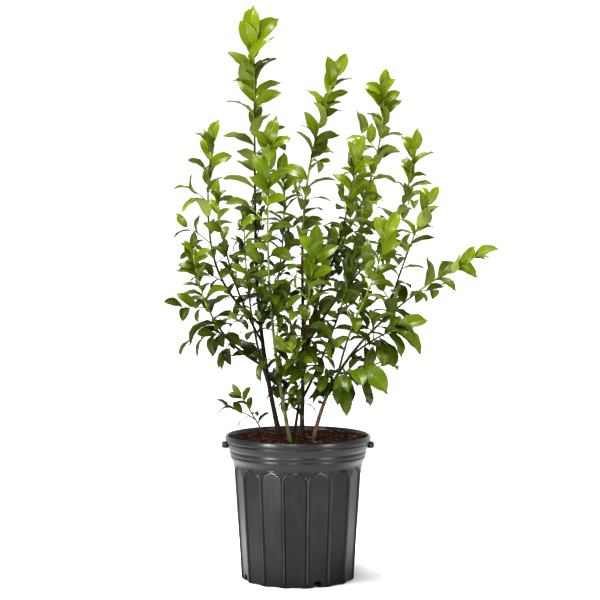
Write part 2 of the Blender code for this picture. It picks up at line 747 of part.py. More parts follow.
def build_limb(stem, home, work, material):
    """The bare stretch of one stem: a cane cut flat at the soil, or a bough trimmed at its parent."""
    shares = steps_between(stem, 0.0, stem.bare)
    prefix = "bough" if stem.parent else "cane"
    limb = tube(f"{prefix}_{stem.name}", spots(stem, shares), radii_of(stem, shares), 1, home)
    if stem.parent:
        sleeve(STEM_OF[stem.parent], work)
        boolean(limb, "DIFFERENCE", work)
        apply_modifiers(limb)
        empty_out(work)
    else:
        shape = bmesh.new()
        shape.from_mesh(limb.data)
        cut = bmesh.ops.bisect_plane(
            shape, geom=shape.verts[:] + shape.edges[:] + shape.faces[:], dist=1e-7,
            plane_co=(0.0, 0.0, SOIL_TOP + GAP), plane_no=(0.0, 0.0, 1.0), clear_inner=True)
        rim = [item for item in cut["geom_cut"] if isinstance(item, bmesh.types.BMEdge)]
        bmesh.ops.contextual_create(shape, geom=rim)
        bmesh.ops.recalc_face_normals(shape, faces=shape.faces)
        shape.to_mesh(limb.data)
        shape.free()
    keep_largest_piece(limb.data)
    limb.data.materials.clear()
    limb.data.materials.append(material)
    smooth(limb.data)


def build_mass(group, grown, home, work, material):
    """One leafy stem with its side shoots, twigs and leaves, joined by one union."""
    leaves, twigs = grown
    trunk = STEM_OF[group]
    shares = steps_between(trunk, *leafy_shares(trunk))
    mass = tube(f"leaves_{group}", spots(trunk, shares), radii_of(trunk, shares), 0, home)
    for stem in STEMS:
        if stem.fused and stem.parent == group:
            shares = steps_between(stem, *leafy_shares(stem))
            tube("side_shoot", spots(stem, shares), radii_of(stem, shares), 0, work)
    for twig in twigs:
        twig_object(twig, work)
    for leaf in leaves:
        leaf_object(leaf, work)
    boolean(mass, "UNION", work)
    apply_modifiers(mass)
    keep_largest_piece(mass.data)
    mass.data.materials.clear()
    mass.data.materials.append(material)
    empty_out(work)


def main():
    for thing in list(bpy.data.objects):
        bpy.data.objects.remove(thing)
    home = new_collection("blueberry bush in a pot")
    work = new_collection("workshop")
    build_pot(home)
    build_soil(home)
    barks = {colour: finish("bark", colour, 0.7) for colour in (BROWN_BARK, PINK_BARK, GREEN_BARK)}
    blade = finish("leaf", LEAF_GREEN, 0.45)
    for stem in STEMS:
        if not stem.fused:
            build_limb(stem, home, work, barks[stem.bark])
    for group, grown in grow().items():
        build_mass(group, grown, home, work, blade)
    bpy.data.collections.remove(work)


main()
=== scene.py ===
"""The looks of a blueberry bush in a nursery pot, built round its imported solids.

Metres, +Z up. The origin is the middle of the pot's flat underside and the bush's front faces -Y.
The bush grows by the same seeded rule as its solids, and goes on from there to finer twigs and leaves.
"""

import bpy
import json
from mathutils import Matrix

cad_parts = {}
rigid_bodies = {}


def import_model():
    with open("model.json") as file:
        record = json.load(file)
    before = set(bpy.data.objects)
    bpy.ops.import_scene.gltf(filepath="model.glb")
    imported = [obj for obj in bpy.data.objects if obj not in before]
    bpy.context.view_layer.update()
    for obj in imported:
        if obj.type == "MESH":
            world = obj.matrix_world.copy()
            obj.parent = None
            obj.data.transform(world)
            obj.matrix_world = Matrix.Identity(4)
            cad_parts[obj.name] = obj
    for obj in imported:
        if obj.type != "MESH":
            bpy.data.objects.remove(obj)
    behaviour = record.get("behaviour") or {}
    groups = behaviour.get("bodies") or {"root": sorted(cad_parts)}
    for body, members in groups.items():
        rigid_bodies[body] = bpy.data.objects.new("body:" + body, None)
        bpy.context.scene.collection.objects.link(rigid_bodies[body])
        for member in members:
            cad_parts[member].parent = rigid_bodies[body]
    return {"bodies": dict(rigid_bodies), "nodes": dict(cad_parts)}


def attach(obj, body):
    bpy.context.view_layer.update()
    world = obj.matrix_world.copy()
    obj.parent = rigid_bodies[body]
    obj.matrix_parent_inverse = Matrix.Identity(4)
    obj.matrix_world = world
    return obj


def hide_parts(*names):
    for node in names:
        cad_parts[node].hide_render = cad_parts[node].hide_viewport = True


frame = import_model()
FRAME_OBJECTS = {*frame["nodes"].values(), *frame["bodies"].values()}

import json  # noqa: E402
import logging  # noqa: E402
import math  # noqa: E402
import random  # noqa: E402
from dataclasses import dataclass, field, replace  # noqa: E402
from enum import IntEnum  # noqa: E402

import bpy  # noqa: E402
import numpy as np  # noqa: E402
from mathutils.bvhtree import BVHTree  # noqa: E402

for stray in set(bpy.data.objects) - FRAME_OBJECTS:
    bpy.data.objects.remove(stray)
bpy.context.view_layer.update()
MM = 0.001
UP = np.array((0.0, 0.0, 1.0))
FRONT = np.array((0.0, -1.0, 0.0))
Array = np.ndarray
Guard = tuple[list, list]
Material, Tree, Socket, Node = (bpy.types.Material, bpy.types.NodeTree, bpy.types.NodeSocket, bpy.types.Node)

log = logging.getLogger("blueberry")


# Helpers


def linear(code: str) -> tuple[float, float, float, float]:
    """Turns an sRGB hex code into a linear colour with an alpha of one."""
    parts = [int(code[k:k + 2], 16) / 255.0 for k in (1, 3, 5)]
    return (*(p / 12.92 if p <= 0.04045 else ((p + 0.055) / 1.055)**2.4 for p in parts), 1.0)


def unit(vectors: Array) -> Array:
    """Scales one vector or rows of vectors to length one."""
    return vectors / np.maximum(np.linalg.norm(vectors, axis=-1, keepdims=True), 1e-9)


def between(ends: tuple[float, float], share: Array | float) -> Array | float:
    """The value a share of the way from the first end to the second."""
    return ends[0] + (ends[1] - ends[0]) * share


def smooth_step(low: float, high: float, values: Array) -> Array:
    """Rises from 0 at low to 1 at high by 3t^2 - 2t^3."""
    t = np.clip((values - low) / (high - low), 0.0, 1.0)
    return t * t * (3.0 - 2.0 * t)


def turns_of(count: int) -> Array:
    """Even turns all the way round."""
    return np.arange(count) * 2.0 * math.pi / count


def circle(count: int) -> Array:
    """Corners of a flat circle of radius one."""
    turns = turns_of(count)
    return np.stack((np.cos(turns), np.sin(turns), np.zeros(count)), axis=-1)


def value_noise(points: Array, seed: int, cells: int = 16) -> Array:
    """Smooth noise from -1 to 1: random values on a unit lattice, blended by 3t^2 - 2t^3 along each axis.

    Args:
        points: places, already divided by the size of a lump.
        seed: picks the lattice.
        cells: how many cells the lattice has before it repeats.

    Returns:
        One value for each place.
    """
    lattice = np.random.default_rng(seed).uniform(-1.0, 1.0, (cells, cells, cells))
    base = np.floor(points).astype(int)
    t = points - base
    t = t * t * (3.0 - 2.0 * t)
    total = np.zeros(points.shape[:-1])
    for corner in np.ndindex(2, 2, 2):
        index = (base + np.array(corner)) % cells
        weight = np.prod(np.where(np.array(corner) == 1, t, 1.0 - t), axis=-1)
        total += weight * lattice[index[..., 0], index[..., 1], index[..., 2]]
    return total


@dataclass
class Shell:
    """Corners, quads and triangles, the number of each face's finish, and a chart of the corners."""

    corners: Array
    quads: Array
    triangles: Array
    quad_finish: Array
    triangle_finish: Array
    chart: Array | None = None

    def piece(self, name: str, finishes: list[Material], crease: float = 40.0) -> bpy.types.Object:
        """Makes one object of this shell, with its place in its mesh.

        Args:
            name: the piece's name.
            finishes: the materials that the face numbers stand for.
            crease: the angle in degrees past which an edge stays sharp.

        Returns:
            The new object, riding on the root body.
        """
        mesh = bpy.data.meshes.new(name)
        mesh.from_pydata(self.corners.tolist(), [], self.quads.tolist() + self.triangles.tolist())
        for finish in finishes:
            mesh.materials.append(finish)
        slots = np.concatenate((self.quad_finish, self.triangle_finish)).astype(np.int32)
        mesh.polygons.foreach_set("material_index", slots)
        if self.chart is not None:
            order = np.zeros(len(mesh.loops), np.int32)
            mesh.loops.foreach_get("vertex_index", order)
            layer = mesh.uv_layers.new(name="blade")
            layer.data.foreach_set("uv", self.chart[order].astype(np.float32).ravel())
        soften(mesh, crease)
        mesh.update()
        thing = bpy.data.objects.new(name, mesh)
        bpy.context.scene.collection.objects.link(thing)
        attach(thing, "root")
        log.info("%s: %d corners, %d faces", name, len(self.corners), len(slots))
        return thing


def soften(mesh: bpy.types.Mesh, crease: float) -> None:
    """Shades a mesh smooth, apart from edges sharper than an angle in degrees."""
    mesh.shade_smooth()
    mesh.set_sharp_from_angle(angle=math.radians(crease))


def joined(shells: list[Shell]) -> Shell:
    """Puts many shells into one, each face keeping its finish.

    Args:
        shells: the shells, whose face numbers stand for the same finishes.

    Returns:
        One shell without a chart.
    """
    starts = np.cumsum([0] + [len(shell.corners) for shell in shells[:-1]])
    rows = [(shell.corners, shell.quads + start, shell.triangles + start, shell.quad_finish,
             shell.triangle_finish) for shell, start in zip(shells, starts)]
    return Shell(*(np.concatenate(column) for column in zip(*rows)))


def ring_faces(rings: int, sides: int) -> tuple[Array, Array]:
    """Faces of a closed tube of rings whose ends are drawn together in a first and a last corner.

    Corner 0 is the first pole, then come the rings, and the last corner is the other pole.

    Args:
        rings: how many rings there are.
        sides: how many corners each ring has.

    Returns:
        The quads between rings and the triangles at both poles.
    """
    k = np.arange(sides)
    after = (k + 1) % sides
    row = (np.arange(rings - 1) * sides)[:, None]
    quads = np.stack((row + k, row + after, row + sides + after, row + sides + k), axis=-1) + 1
    last = (rings - 1) * sides + 1
    first_cap = np.stack((np.zeros_like(k), after + 1, k + 1), axis=-1)
    last_cap = np.stack((k + last, after + last, np.full_like(k, last + sides)), axis=-1)
    return quads.reshape(-1, 4), np.concatenate((first_cap, last_cap))


def closed_rows(first: Array, rows: Array, last: Array, finish: Array | int = 0, flip: bool = False) -> Shell:
    """Closes a grid of corners, ring by side, with a pole at each end.

    Args:
        first: the pole before the first ring.
        rows: the corners of the rings.
        last: the pole after the last ring.
        finish: one number, or one for each quad.
        flip: turns the faces over, where the rows run the other way.

    Returns:
        The closed shell.
    """
    corners = np.concatenate(([first], rows.reshape(-1, 3), [last]))
    quads, triangles = ring_faces(*rows.shape[:2])
    if flip:
        quads, triangles = quads[:, ::-1], triangles[:, ::-1]
    return Shell(corners, quads, triangles, np.broadcast_to(finish, len(quads)), np.zeros(len(triangles), int))


def spokes(across: Array, other: Array, sides: int) -> Array:
    """Directions out from a line, one row a ring and one column a side: cos a * across + sin a * other."""
    turns = turns_of(sides)[None, :, None]
    return np.cos(turns) * across[:, None] + np.sin(turns) * other[:, None]


def tube_shell(points: Array, radii: Array, finish: Array | int = 0) -> Shell:
    """A tube round a line: P(s, a) = line(s) + r(s, a)(cos a * across + sin a * other).

    Args:
        points: the line, one row a ring.
        radii: one row a ring and one column a side.
        finish: one number, or one for each stretch between two rings.

    Returns:
        The closed shell, with its ends drawn together.
    """
    sides = radii.shape[1]
    ways = unit(np.gradient(points, axis=0))
    fixed = np.eye(3)[np.argmin(np.abs(unit(points[-1] - points[0])))]
    across = unit(np.cross(ways, fixed))
    rows = points[:, None] + radii[:, :, None] * spokes(across, np.cross(ways, across), sides)
    domes = np.array([[-0.3], [0.3]])
    ends = points[[0, -1]] + ways[[0, -1]] * radii[[0, -1]].mean(axis=1)[:, None] * domes
    stretch = np.broadcast_to(finish, len(points) - 1)
    shell = closed_rows(ends[0], rows, ends[1], np.repeat(stretch, sides))
    shell.triangle_finish = np.repeat(stretch[[0, -1]], sides)
    return shell


# Finishes


def add(tree: Tree, kind: str, links: dict | None = None, **settings) -> Node:
    """Adds one node with its settings and links.

    Args:
        tree: the material's node tree.
        kind: the node's type.
        links: input socket to the output socket that feeds it, or to a plain value.
        settings: properties of the node itself.

    Returns:
        The new node.
    """
    node = tree.nodes.new(kind)
    for key, value in settings.items():
        setattr(node, key, value)
    for socket, value in (links or {}).items():
        if isinstance(value, Socket):
            tree.links.new(value, node.inputs[socket])
        else:
            node.inputs[socket].default_value = value
    return node


def blank(name: str, **sockets) -> tuple[Material, Tree, Node]:
    """Starts a material with one shader whose plain sockets are set.

    Args:
        name: the material's name.
        sockets: socket names, with _ for a space, and their values.

    Returns:
        The material, its tree and its shader node.
    """
    material = bpy.data.materials.new(name)
    material.use_nodes = True
    shader = material.node_tree.nodes["Principled BSDF"]
    for key, value in sockets.items():
        shader.inputs[key.replace("_", " ")].default_value = value
    return material, material.node_tree, shader


def feed(tree: Tree, shader: Node, relief: tuple[Socket, float, float] | None = None, **sockets) -> None:
    """Links what is drawn to the shader.

    Args:
        tree: the material's node tree.
        shader: its shader node.
        relief: a height, with how strongly and over what distance it bumps the surface.
        sockets: socket names, with _ for a space, and the outputs that feed them.
    """
    if relief:
        height, strength, distance = relief
        bump = add(tree, "ShaderNodeBump", {"Height": height, "Strength": strength, "Distance": distance})
        sockets["Normal"] = bump.outputs["Normal"]
    for key, value in sockets.items():
        tree.links.new(value, shader.inputs[key.replace("_", " ")])


def object_place(tree: Tree, scale: tuple[float, float, float] = (1.0, 1.0, 1.0)) -> Socket:
    """Object coordinates, stretched by a scale along each axis."""
    place = add(tree, "ShaderNodeTexCoord").outputs["Object"]
    return add(tree, "ShaderNodeMapping", {"Vector": place, "Scale": scale}).outputs["Vector"]


def height_of(tree: Tree) -> Socket:
    """The height above the ground, in metres."""
    return add(tree, "ShaderNodeSeparateXYZ", {"Vector": object_place(tree)}).outputs["Z"]


def noise(tree: Tree, scale: float, detail: float = 2.0, stretch: tuple = (1.0, 1.0, 1.0)) -> Socket:
    """Cloudy noise in object coordinates, with so many lumps a metre."""
    place = object_place(tree, stretch)
    return add(tree, "ShaderNodeTexNoise", {"Vector": place, "Scale": scale, "Detail": detail}).outputs["Fac"]


def number(tree: Tree, operation: str, *values: Socket | float) -> Socket:
    """One step of arithmetic."""
    return add(tree, "ShaderNodeMath", dict(enumerate(values)), operation=operation).outputs[0]


def ramp(tree: Tree, value: Socket, low: float, high: float, start: float = 0.0, end: float = 1.0,
         **settings) -> Socket:
    """Goes from start to end as the value goes from low to high."""
    links = {"Value": value, "From Min": low, "From Max": high, "To Min": start, "To Max": end}
    return add(tree, "ShaderNodeMapRange", links, **settings).outputs["Result"]


def blend(tree: Tree, share: Socket, first: str, second: str) -> Socket:
    """A colour between two sRGB hex codes."""
    links = {0: share, 6: linear(first), 7: linear(second)}
    return add(tree, "ShaderNodeMix", links, data_type="RGBA").outputs[2]


@dataclass(frozen=True)
class LeafTone:
    """A blueberry leaf of one tone, which stands for its age and, as painted light and shade, for how much
    light reaches it: a waxy blade, its pale midrib and its matt, bloomy underside.
    """

    name: str
    blade: str
    rib: str
    under: str
    side_veins: float = 9.0
    vein_slant: float = -0.22
    vein_relief: tuple = (0.25, 0.15 * MM)

    def materials(self) -> list[Material]:
        """The three finishes in the order blade, midrib, underside.

        The wax gives the blade a soft broad sheen, and the side veins, about 5 mm apart, a faint relief.

        Returns:
            The three materials.
        """
        made = []
        for part, code, rough, gloss in (("blade", self.blade, 0.32, 0.16), ("midrib", self.rib, 0.45, 0.12),
                                         ("underside", self.under, 0.60, 0.05)):
            material, tree, shader = blank(f"{self.name} leaf {part}", Base_Color=linear(code),
                                           Roughness=rough, IOR=1.45, Specular_IOR_Level=gloss)
            chart = add(tree, "ShaderNodeUVMap", uv_map="blade").outputs["UV"]
            axes = add(tree, "ShaderNodeSeparateXYZ", {"Vector": chart}).outputs
            across = number(tree, "ABSOLUTE", axes["Y"])
            slant = number(tree, "MULTIPLY_ADD", across, self.vein_slant, axes["X"])
            veins = number(tree, "SINE", number(tree, "MULTIPLY", slant, 2.0 * math.pi * self.side_veins))
            feed(tree, shader, (veins, *self.vein_relief))
            made.append(material)
        return made


# From darkest to palest: the darker tones are painted shade low down and inside the crown, the paler ones
# painted light high up and far out, together with the paler new growth at the tips
LEAF_TONES = (
    LeafTone("shaded", "#161F01", "#272F09", "#222C07"),
    LeafTone("inner", "#212D01", "#353D0A", "#2D390C"),
    LeafTone("lower", "#2D3902", "#41490C", "#3A4714"),
    LeafTone("middle", "#384602", "#4C560F", "#45541C"),
    LeafTone("upper", "#425103", "#576112", "#505D24"),
    LeafTone("young", "#4B5A04", "#616C17", "#59642A"),
    LeafTone("newest_and_best_lit", "#536205", "#6A751F", "#616C32"),
)


@dataclass(frozen=True)
class BarkFinish:
    """Woody bark of one age: dull, with fine lengthwise streaks and paler corky specks."""

    name: str
    dark: str
    light: str
    rough: float
    streak: float = 1.5 * MM
    streak_squeeze: float = 0.12
    speck: float = 0.9 * MM
    speck_share: float = 0.35
    contrast: tuple = (0.48, 0.88)
    relief: tuple = (0.6, 0.4 * MM)

    def material(self) -> Material:
        """Streaks about 1.5 mm wide and eight times as long, and specks under a millimetre.

        Returns:
            The material.
        """
        material, tree, shader = blank(self.name, Roughness=self.rough, IOR=1.45, Specular_IOR_Level=0.15)
        streak = noise(tree, 1.0 / self.streak, 3.0, (1.0, 1.0, self.streak_squeeze))
        mixed = number(tree, "MULTIPLY_ADD", noise(tree, 1.0 / self.speck), self.speck_share, streak)
        colour = blend(tree, ramp(tree, mixed, *self.contrast), self.dark, self.light)
        feed(tree, shader, (mixed, *self.relief), Base_Color=colour)
        return material


BARKS = (
    BarkFinish("old brown bark", "#0C0605", "#241712", 0.80),
    BarkFinish("pinkish brown bark", "#1E0F0C", "#5A3E34", 0.72),
    BarkFinish("green cane bark", "#222A0C", "#4C5226", 0.58),
    BarkFinish("reddish second year bark", "#201209", "#47311C", 0.66),
    BarkFinish("olive shoot skin", "#2D350F", "#565F25", 0.55),
    BarkFinish("green shoot skin", "#3F4F14", "#69772D", 0.50),
    BarkFinish("pale new shoot skin", "#617127", "#8C974F", 0.46),
)


class Bark(IntEnum):
    """The bark at a stem's foot, as a number in the list of bark finishes."""

    BROWN = 0
    PINK = 1
    GREEN = 2


# From a stem's foot to its tip: the share at which each skin ends, for each bark
SKINS = {
    Bark.BROWN: ((0.60, 0), (0.76, 3), (0.86, 4), (0.95, 5), (1.0, 6)),
    Bark.PINK: ((0.55, 1), (0.64, 3), (0.72, 4), (0.84, 5), (1.0, 6)),
    Bark.GREEN: ((0.55, 2), (0.78, 5), (1.0, 6)),
}


@dataclass(frozen=True)
class MouldedPolyethylene:
    """Charcoal polyethylene, blow moulded: satin, faintly pebbled by the mould, dulled by dust and handling."""

    name: str = "moulded polyethylene"
    dark: str = "#080809"
    worn: str = "#101010"
    pebble: float = 0.45 * MM
    rim: float = 0.26
    foot_gloss: float = 0.12
    rim_gloss: float = 0.28
    patches: tuple = (25.0, 4.0)
    scuffs: tuple = (220.0, 3.0, (1.0, 1.0, 0.08))
    colour_wear: tuple = (0.15, 0.40)
    rough_wear: tuple = (0.10, 0.45, 0.27, 0.38)
    relief: tuple = (0.22, 0.25 * MM)

    def material(self) -> Material:
        """Broad worn patches about 40 mm across, and a pebble grain that is drawn twice its real size.

        Returns:
            The material.
        """
        material, tree, shader = blank(self.name, IOR=1.5)
        wear = number(tree, "MULTIPLY", noise(tree, *self.patches), noise(tree, *self.scuffs))
        grain = noise(tree, 1.0 / (2.0 * self.pebble))
        feed(tree, shader, (grain, *self.relief),
             Base_Color=blend(tree, ramp(tree, wear, *self.colour_wear), self.dark, self.worn),
             Roughness=ramp(tree, wear, *self.rough_wear),
             Specular_IOR_Level=ramp(tree, height_of(tree), 0.0, self.rim, self.foot_gloss, self.rim_gloss))
        return material


@dataclass(frozen=True)
class BarkMix:
    """Shredded pine bark and peat, damp: dark and quite matt, redder where the shreds are fresh."""

    name: str
    dark: str
    light: str
    painted_shade_below: float = 200.0 * MM
    painted_shade_edge: float = 20.0 * MM
    lump: float = 4.0 * MM
    crumb: float = 1.2 * MM
    lump_share: float = 0.5
    contrast: tuple = (0.5, 1.0)
    relief: tuple = (0.9, 1.5 * MM)

    def material(self) -> Material:
        """Lumps of about 4 mm with crumbs of about 1 mm; deep in the pot, where the mix shows only through the
        drain notches, it is painted all dark as shade.

        Returns:
            The material.
        """
        material, tree, shader = blank(self.name, Roughness=0.92, Specular_IOR_Level=0.08)
        lump = add(tree, "ShaderNodeTexVoronoi", {"Vector": object_place(tree), "Scale": 1.0 / self.lump})
        crumb = noise(tree, 1.0 / self.crumb, 4.0)
        mixed = number(tree, "MULTIPLY_ADD", lump.outputs["Distance"], self.lump_share, crumb)
        # Painted shade: below the top layer the colour goes to the dark end, so the mix seen through the drain
        # notches reads as a dark hollow
        dry = ramp(tree, height_of(tree), self.painted_shade_below, self.painted_shade_below + self.painted_shade_edge)
        light = number(tree, "MULTIPLY", ramp(tree, mixed, *self.contrast), dry)
        feed(tree, shader, (mixed, *self.relief), Base_Color=blend(tree, light, self.dark, self.light))
        return material


SOIL_FINISH = BarkMix("bark and peat mix", "#110806", "#432820")
SHREDS = (
    BarkMix("dark bark shred", "#0F0806", "#2E1D18"),
    BarkMix("brown bark shred", "#2E1B16", "#57382E"),
    BarkMix("fresh bark shred", "#4F3027", "#7E5848"),
    BarkMix("pale wood shred", "#715442", "#A08A6C"),
)


# How the bush grows: the same rule as its solids


@dataclass(frozen=True)
class Stem:
    """One shoot, with lengths in metres.

    Bow is how far its middle stands off the chord and sway the depth of its S-bend. Bare is the share of it
    that is limb, and share its own place on its parent. Spread and droop, for its leaves, go from foot to
    tip. In the scene, fill is how much of the finer growth it has, trim the leaves' length at foot and tip,
    skins its own ages of bark, and strays the number of small things on its bare part.
    """

    name: str
    parent: str
    start: tuple
    tip: tuple
    bow: tuple
    bare: float
    girth: float
    leaf: float = 0.056
    sway: tuple = (0.0, 0.0, 0.0)
    spacing: float = 0.0158
    spread: tuple = (82.0, 36.0)
    droop: tuple = (0.35, 0.0)
    bark: Bark = Bark.BROWN
    share: float = 0.0
    fused: bool = False
    turn: float = 0.0
    fill: float = 1.0
    trim: tuple = (1.0, 1.0)
    skins: tuple = ()
    strays: int = 0

    @property
    def group(self) -> str:
        """The mass that the stem's leafy part belongs to."""
        return self.parent if self.fused else self.name


# Canes from the soil come first, then the boughs on them, then the side shoots fused to a leafy stem.
# A stem with a parent starts on it, a share of the way along, and its start is left empty.
STEMS = (
    Stem("left", "", (-0.03, 0.0), (-0.081, 0.05, 0.99), (-0.023, 0.014, -0.003), 0.36, 0.0047, leaf=0.064,
         sway=(-0.005, -0.001, 0.0), spread=(80.0, 38.0), turn=20.0, fill=0.4, trim=(0.88, 1.18), strays=5),
    Stem("green", "", (-0.011, -0.05), (-0.049, -0.12, 0.794), (-0.019, -0.001, -0.001), 0.40, 0.0036,
         leaf=0.055, bark=Bark.GREEN, turn=140.0, fill=0.6, strays=8),
    Stem("middle", "", (0.007, -0.008), (0.065, -0.02, 0.919), (-0.028, -0.008, 0.002), 0.37, 0.0042,
         leaf=0.058, sway=(0.009, 0.0, 0.0), turn=75.0, trim=(1.0, 0.96), strays=9,
         skins=((0.40, 0), (0.54, 3), (0.70, 4), (0.86, 5), (1.0, 6))),
    Stem("right", "", (0.025, -0.05), (0.32, -0.05, 0.596), (-0.042, 0.0, 0.036), 0.50, 0.0037, leaf=0.060,
         sway=(-0.006, 0.0, 0.001), bark=Bark.PINK, spread=(70.0, 26.0), droop=(0.35, 0.15), fill=0.15,
         trim=(1.05, 0.78), strays=4),
    Stem("back", "", (-0.009, 0.04), (0.062, 0.17, 0.602), (-0.005, 0.01, -0.003), 0.34, 0.0026, leaf=0.052,
         bark=Bark.GREEN, skins=((0.30, 0), (0.55, 3), (0.75, 4), (1.0, 5)), strays=4),
    Stem("low", "", (-0.059, 0.08), (-0.106, 0.03, 0.334), (0.001, -0.002, 0.0), 0.25, 0.0014, leaf=0.036,
         spacing=0.012, bark=Bark.GREEN, spread=(70.0, 40.0), turn=60.0, fill=0.3, trim=(0.94, 0.84)),
    Stem("inner_right", "middle", (), (0.16, 0.06, 0.899), (0.005, 0.023, -0.005), 0.32, 0.0029, leaf=0.058,
         share=0.19, sway=(-0.016, 0.002, 0.005), turn=200.0, trim=(1.0, 0.88),
         skins=((0.40, 0), (0.60, 3), (0.75, 4), (0.90, 5), (1.0, 6))),
    Stem("outer_right", "middle", (), (0.217, 0.1, 0.792), (0.021, 0.04, -0.022), 0.33, 0.0027, leaf=0.056,
         share=0.26, sway=(-0.014, 0.004, 0.003), turn=30.0, trim=(1.0, 0.90),
         skins=((0.38, 0), (0.58, 3), (0.74, 4), (0.90, 5), (1.0, 6))),
    Stem("front", "middle", (), (0.03, -0.135, 0.6), (-0.006, -0.02, -0.016), 0.22, 0.0023, leaf=0.058,
         share=0.22, turn=110.0),
    Stem("low_front", "middle", (), (-0.02, -0.15, 0.44), (0.012, -0.02, 0.014), 0.30, 0.0017, leaf=0.046,
         share=0.12, turn=200.0, fill=1.4, trim=(0.92, 0.84)),
    Stem("pale", "right", (), (0.158, -0.13, 0.64), (-0.002, -0.011, -0.002), 0.24, 0.0022, leaf=0.055,
         share=0.30, sway=(-0.003, 0.004, 0.002), bark=Bark.GREEN, turn=50.0),
    Stem("low_right", "right", (), (0.183, -0.105, 0.468), (0.006, -0.014, 0.012), 0.20, 0.0020, leaf=0.060,
         share=0.38, spacing=0.0115, spread=(75.0, 30.0), droop=(0.8, 0.5), turn=90.0, fill=3.2,
         trim=(1.16, 1.06)),
    Stem("drooping", "right", (), (0.118, -0.125, 0.398), (0.004, -0.012, 0.018), 0.18, 0.0019, leaf=0.066,
         share=0.20, spacing=0.01, spread=(75.0, 35.0), droop=(1.1, 1.0), turn=10.0, fill=3.2,
         trim=(1.16, 1.06)),
    Stem("far_left", "left", (), (-0.187, -0.09, 0.612), (-0.026, -0.017, -0.024), 0.30, 0.0025, leaf=0.062,
         share=0.195, spacing=0.013, droop=(1.0, 0.1), turn=160.0, fill=2.2, trim=(1.20, 0.62),
         skins=((0.64, 0), (0.69, 4), (0.74, 5), (1.0, 6))),
    Stem("upper_left", "left", (), (-0.161, 0.08, 0.803), (-0.048, 0.013, -0.017), 0.20, 0.0027, leaf=0.058,
         share=0.30, sway=(-0.005, -0.007, -0.003), turn=130.0, fill=0.3, trim=(0.92, 1.05)),
    Stem("mid_left", "left", (), (-0.147, -0.04, 0.702), (-0.013, -0.012, -0.007), 0.18, 0.0023,
         share=0.255, turn=300.0, fill=0.0, trim=(0.76, 0.70)),
    Stem("back_left", "left", (), (-0.105, 0.19, 0.668), (-0.012, 0.03, -0.018), 0.24, 0.0025, leaf=0.057,
         share=0.14, turn=250.0, fill=0.0, trim=(0.72, 0.58)),
    Stem("back_right", "middle", (), (0.135, 0.195, 0.69), (0.01, 0.038, -0.02), 0.24, 0.0025, leaf=0.057,
         share=0.13, turn=340.0),
    Stem("green_side", "green", (), (-0.027, 0.095, 0.742), (0.008, 0.012, -0.012), 0.0, 0.0018, leaf=0.052,
         share=0.47, fused=True, turn=15.0, fill=0.5),
    Stem("inner_side", "inner_right", (), (0.106, -0.06, 0.771), (0.004, -0.008, -0.004), 0.0, 0.0018,
         leaf=0.055, share=0.38, fused=True, turn=70.0),
    Stem("right_side", "right", (), (0.233, -0.05, 0.689), (-0.003, 0.0, 0.001), 0.0, 0.0018, leaf=0.050,
         share=0.58, fused=True, turn=35.0),
)
STEM_OF = {stem.name: stem for stem in STEMS}


@dataclass(frozen=True)
class Leaf:
    """A leaf by its root, the ways it points and faces, its size, its place up the stem and its order."""

    root: Array
    along: Array
    face: Array
    length: float
    grip: float
    climb: float
    order: int


@dataclass(frozen=True)
class Twig:
    """A short side twig by its root, its tip, its place up the stem and its kind: 1 common, 2 fine, 3 dry."""

    root: Array
    tip: Array
    climb: float
    order: int


@dataclass
class Growth:
    """Leaves and twigs that have found room."""

    leaves: list[Leaf] = field(default_factory=list)
    twigs: list[Twig] = field(default_factory=list)

    def take(self, more: "Growth") -> bool:
        """Adds more leaves and twigs.

        Args:
            more: what has grown, or an empty growth.

        Returns:
            True where a twig was among it.
        """
        self.leaves += more.leaves
        self.twigs += more.twigs
        return bool(more.twigs)


@dataclass(frozen=True)
class Place:
    """Where something leaves a stem.

    It holds the point, the way the stem runs there, the turn about the stem, the share of the way up the
    leafy stem, and the place's own random numbers.
    """

    root: Array
    way: Array
    turn: float
    climb: float = 0.0
    draw: random.Random | None = None


class Space:
    """The room that one mass keeps to."""

    def __init__(self, rule: "GrowthRule", group: str, lines: dict[str, Array], solids: BVHTree) -> None:
        """Sorts the mass's own stem lines from the others'.

        Args:
            rule: the growth rule.
            group: the mass's name.
            lines: the stem lines of every mass by name.
            solids: what stands there already.
        """
        self.rule = rule
        self.own = lines[group]
        self.others = np.concatenate([line for name, line in lines.items() if name != group])
        self.solids = solids
        self.blades: list[BVHTree] = []

    def holds(self, guard: Guard) -> bool:
        """Tests a guard against this room, the pot and every other solid.

        Args:
            guard: the corners and faces of something that wants to grow.

        Returns:
            True where there is room for it.
        """
        rule = self.rule
        corners = np.array(guard[0])
        own = nearest(corners, self.own)
        low = (np.hypot(corners[:, 0], corners[:, 1]) < rule.rim_radius + rule.pot_margin) & (
            corners[:, 2] < rule.pot_height + rule.pot_margin)
        if low.any() or (own > rule.reach).any() or (own > nearest(corners, self.others) + rule.lap).any():
            return False
        tree = merged([guard])
        return not any(tree.overlap(other) for other in (self.solids, *self.blades))

    def fill(self, guard: Guard) -> None:
        """Counts one more blade of this mass as taken room."""
        self.blades.append(merged([guard]))


def merged(guards: list[Guard]) -> BVHTree:
    """One search tree of many guards.

    Args:
        guards: the guards.

    Returns:
        The tree.
    """
    corners, faces = [], []
    for some, shape in guards:
        faces += [[len(corners) + index for index in each] for each in shape]
        corners += some
    return BVHTree.FromPolygons([tuple(corner) for corner in corners], faces)


def nearest(points: Array, line: Array) -> Array:
    """Each point's distance to the nearest point of a line."""
    return np.linalg.norm(points[:, None, :] - line[None, :, :], axis=2).min(axis=1)


def bearing(way: Array, turn: float) -> Array:
    """The direction out from a stem at one turn about it."""
    side = unit(np.cross(way, (0.0, 1.0, 0.0)))
    return math.cos(turn) * side + math.sin(turn) * np.cross(way, side)


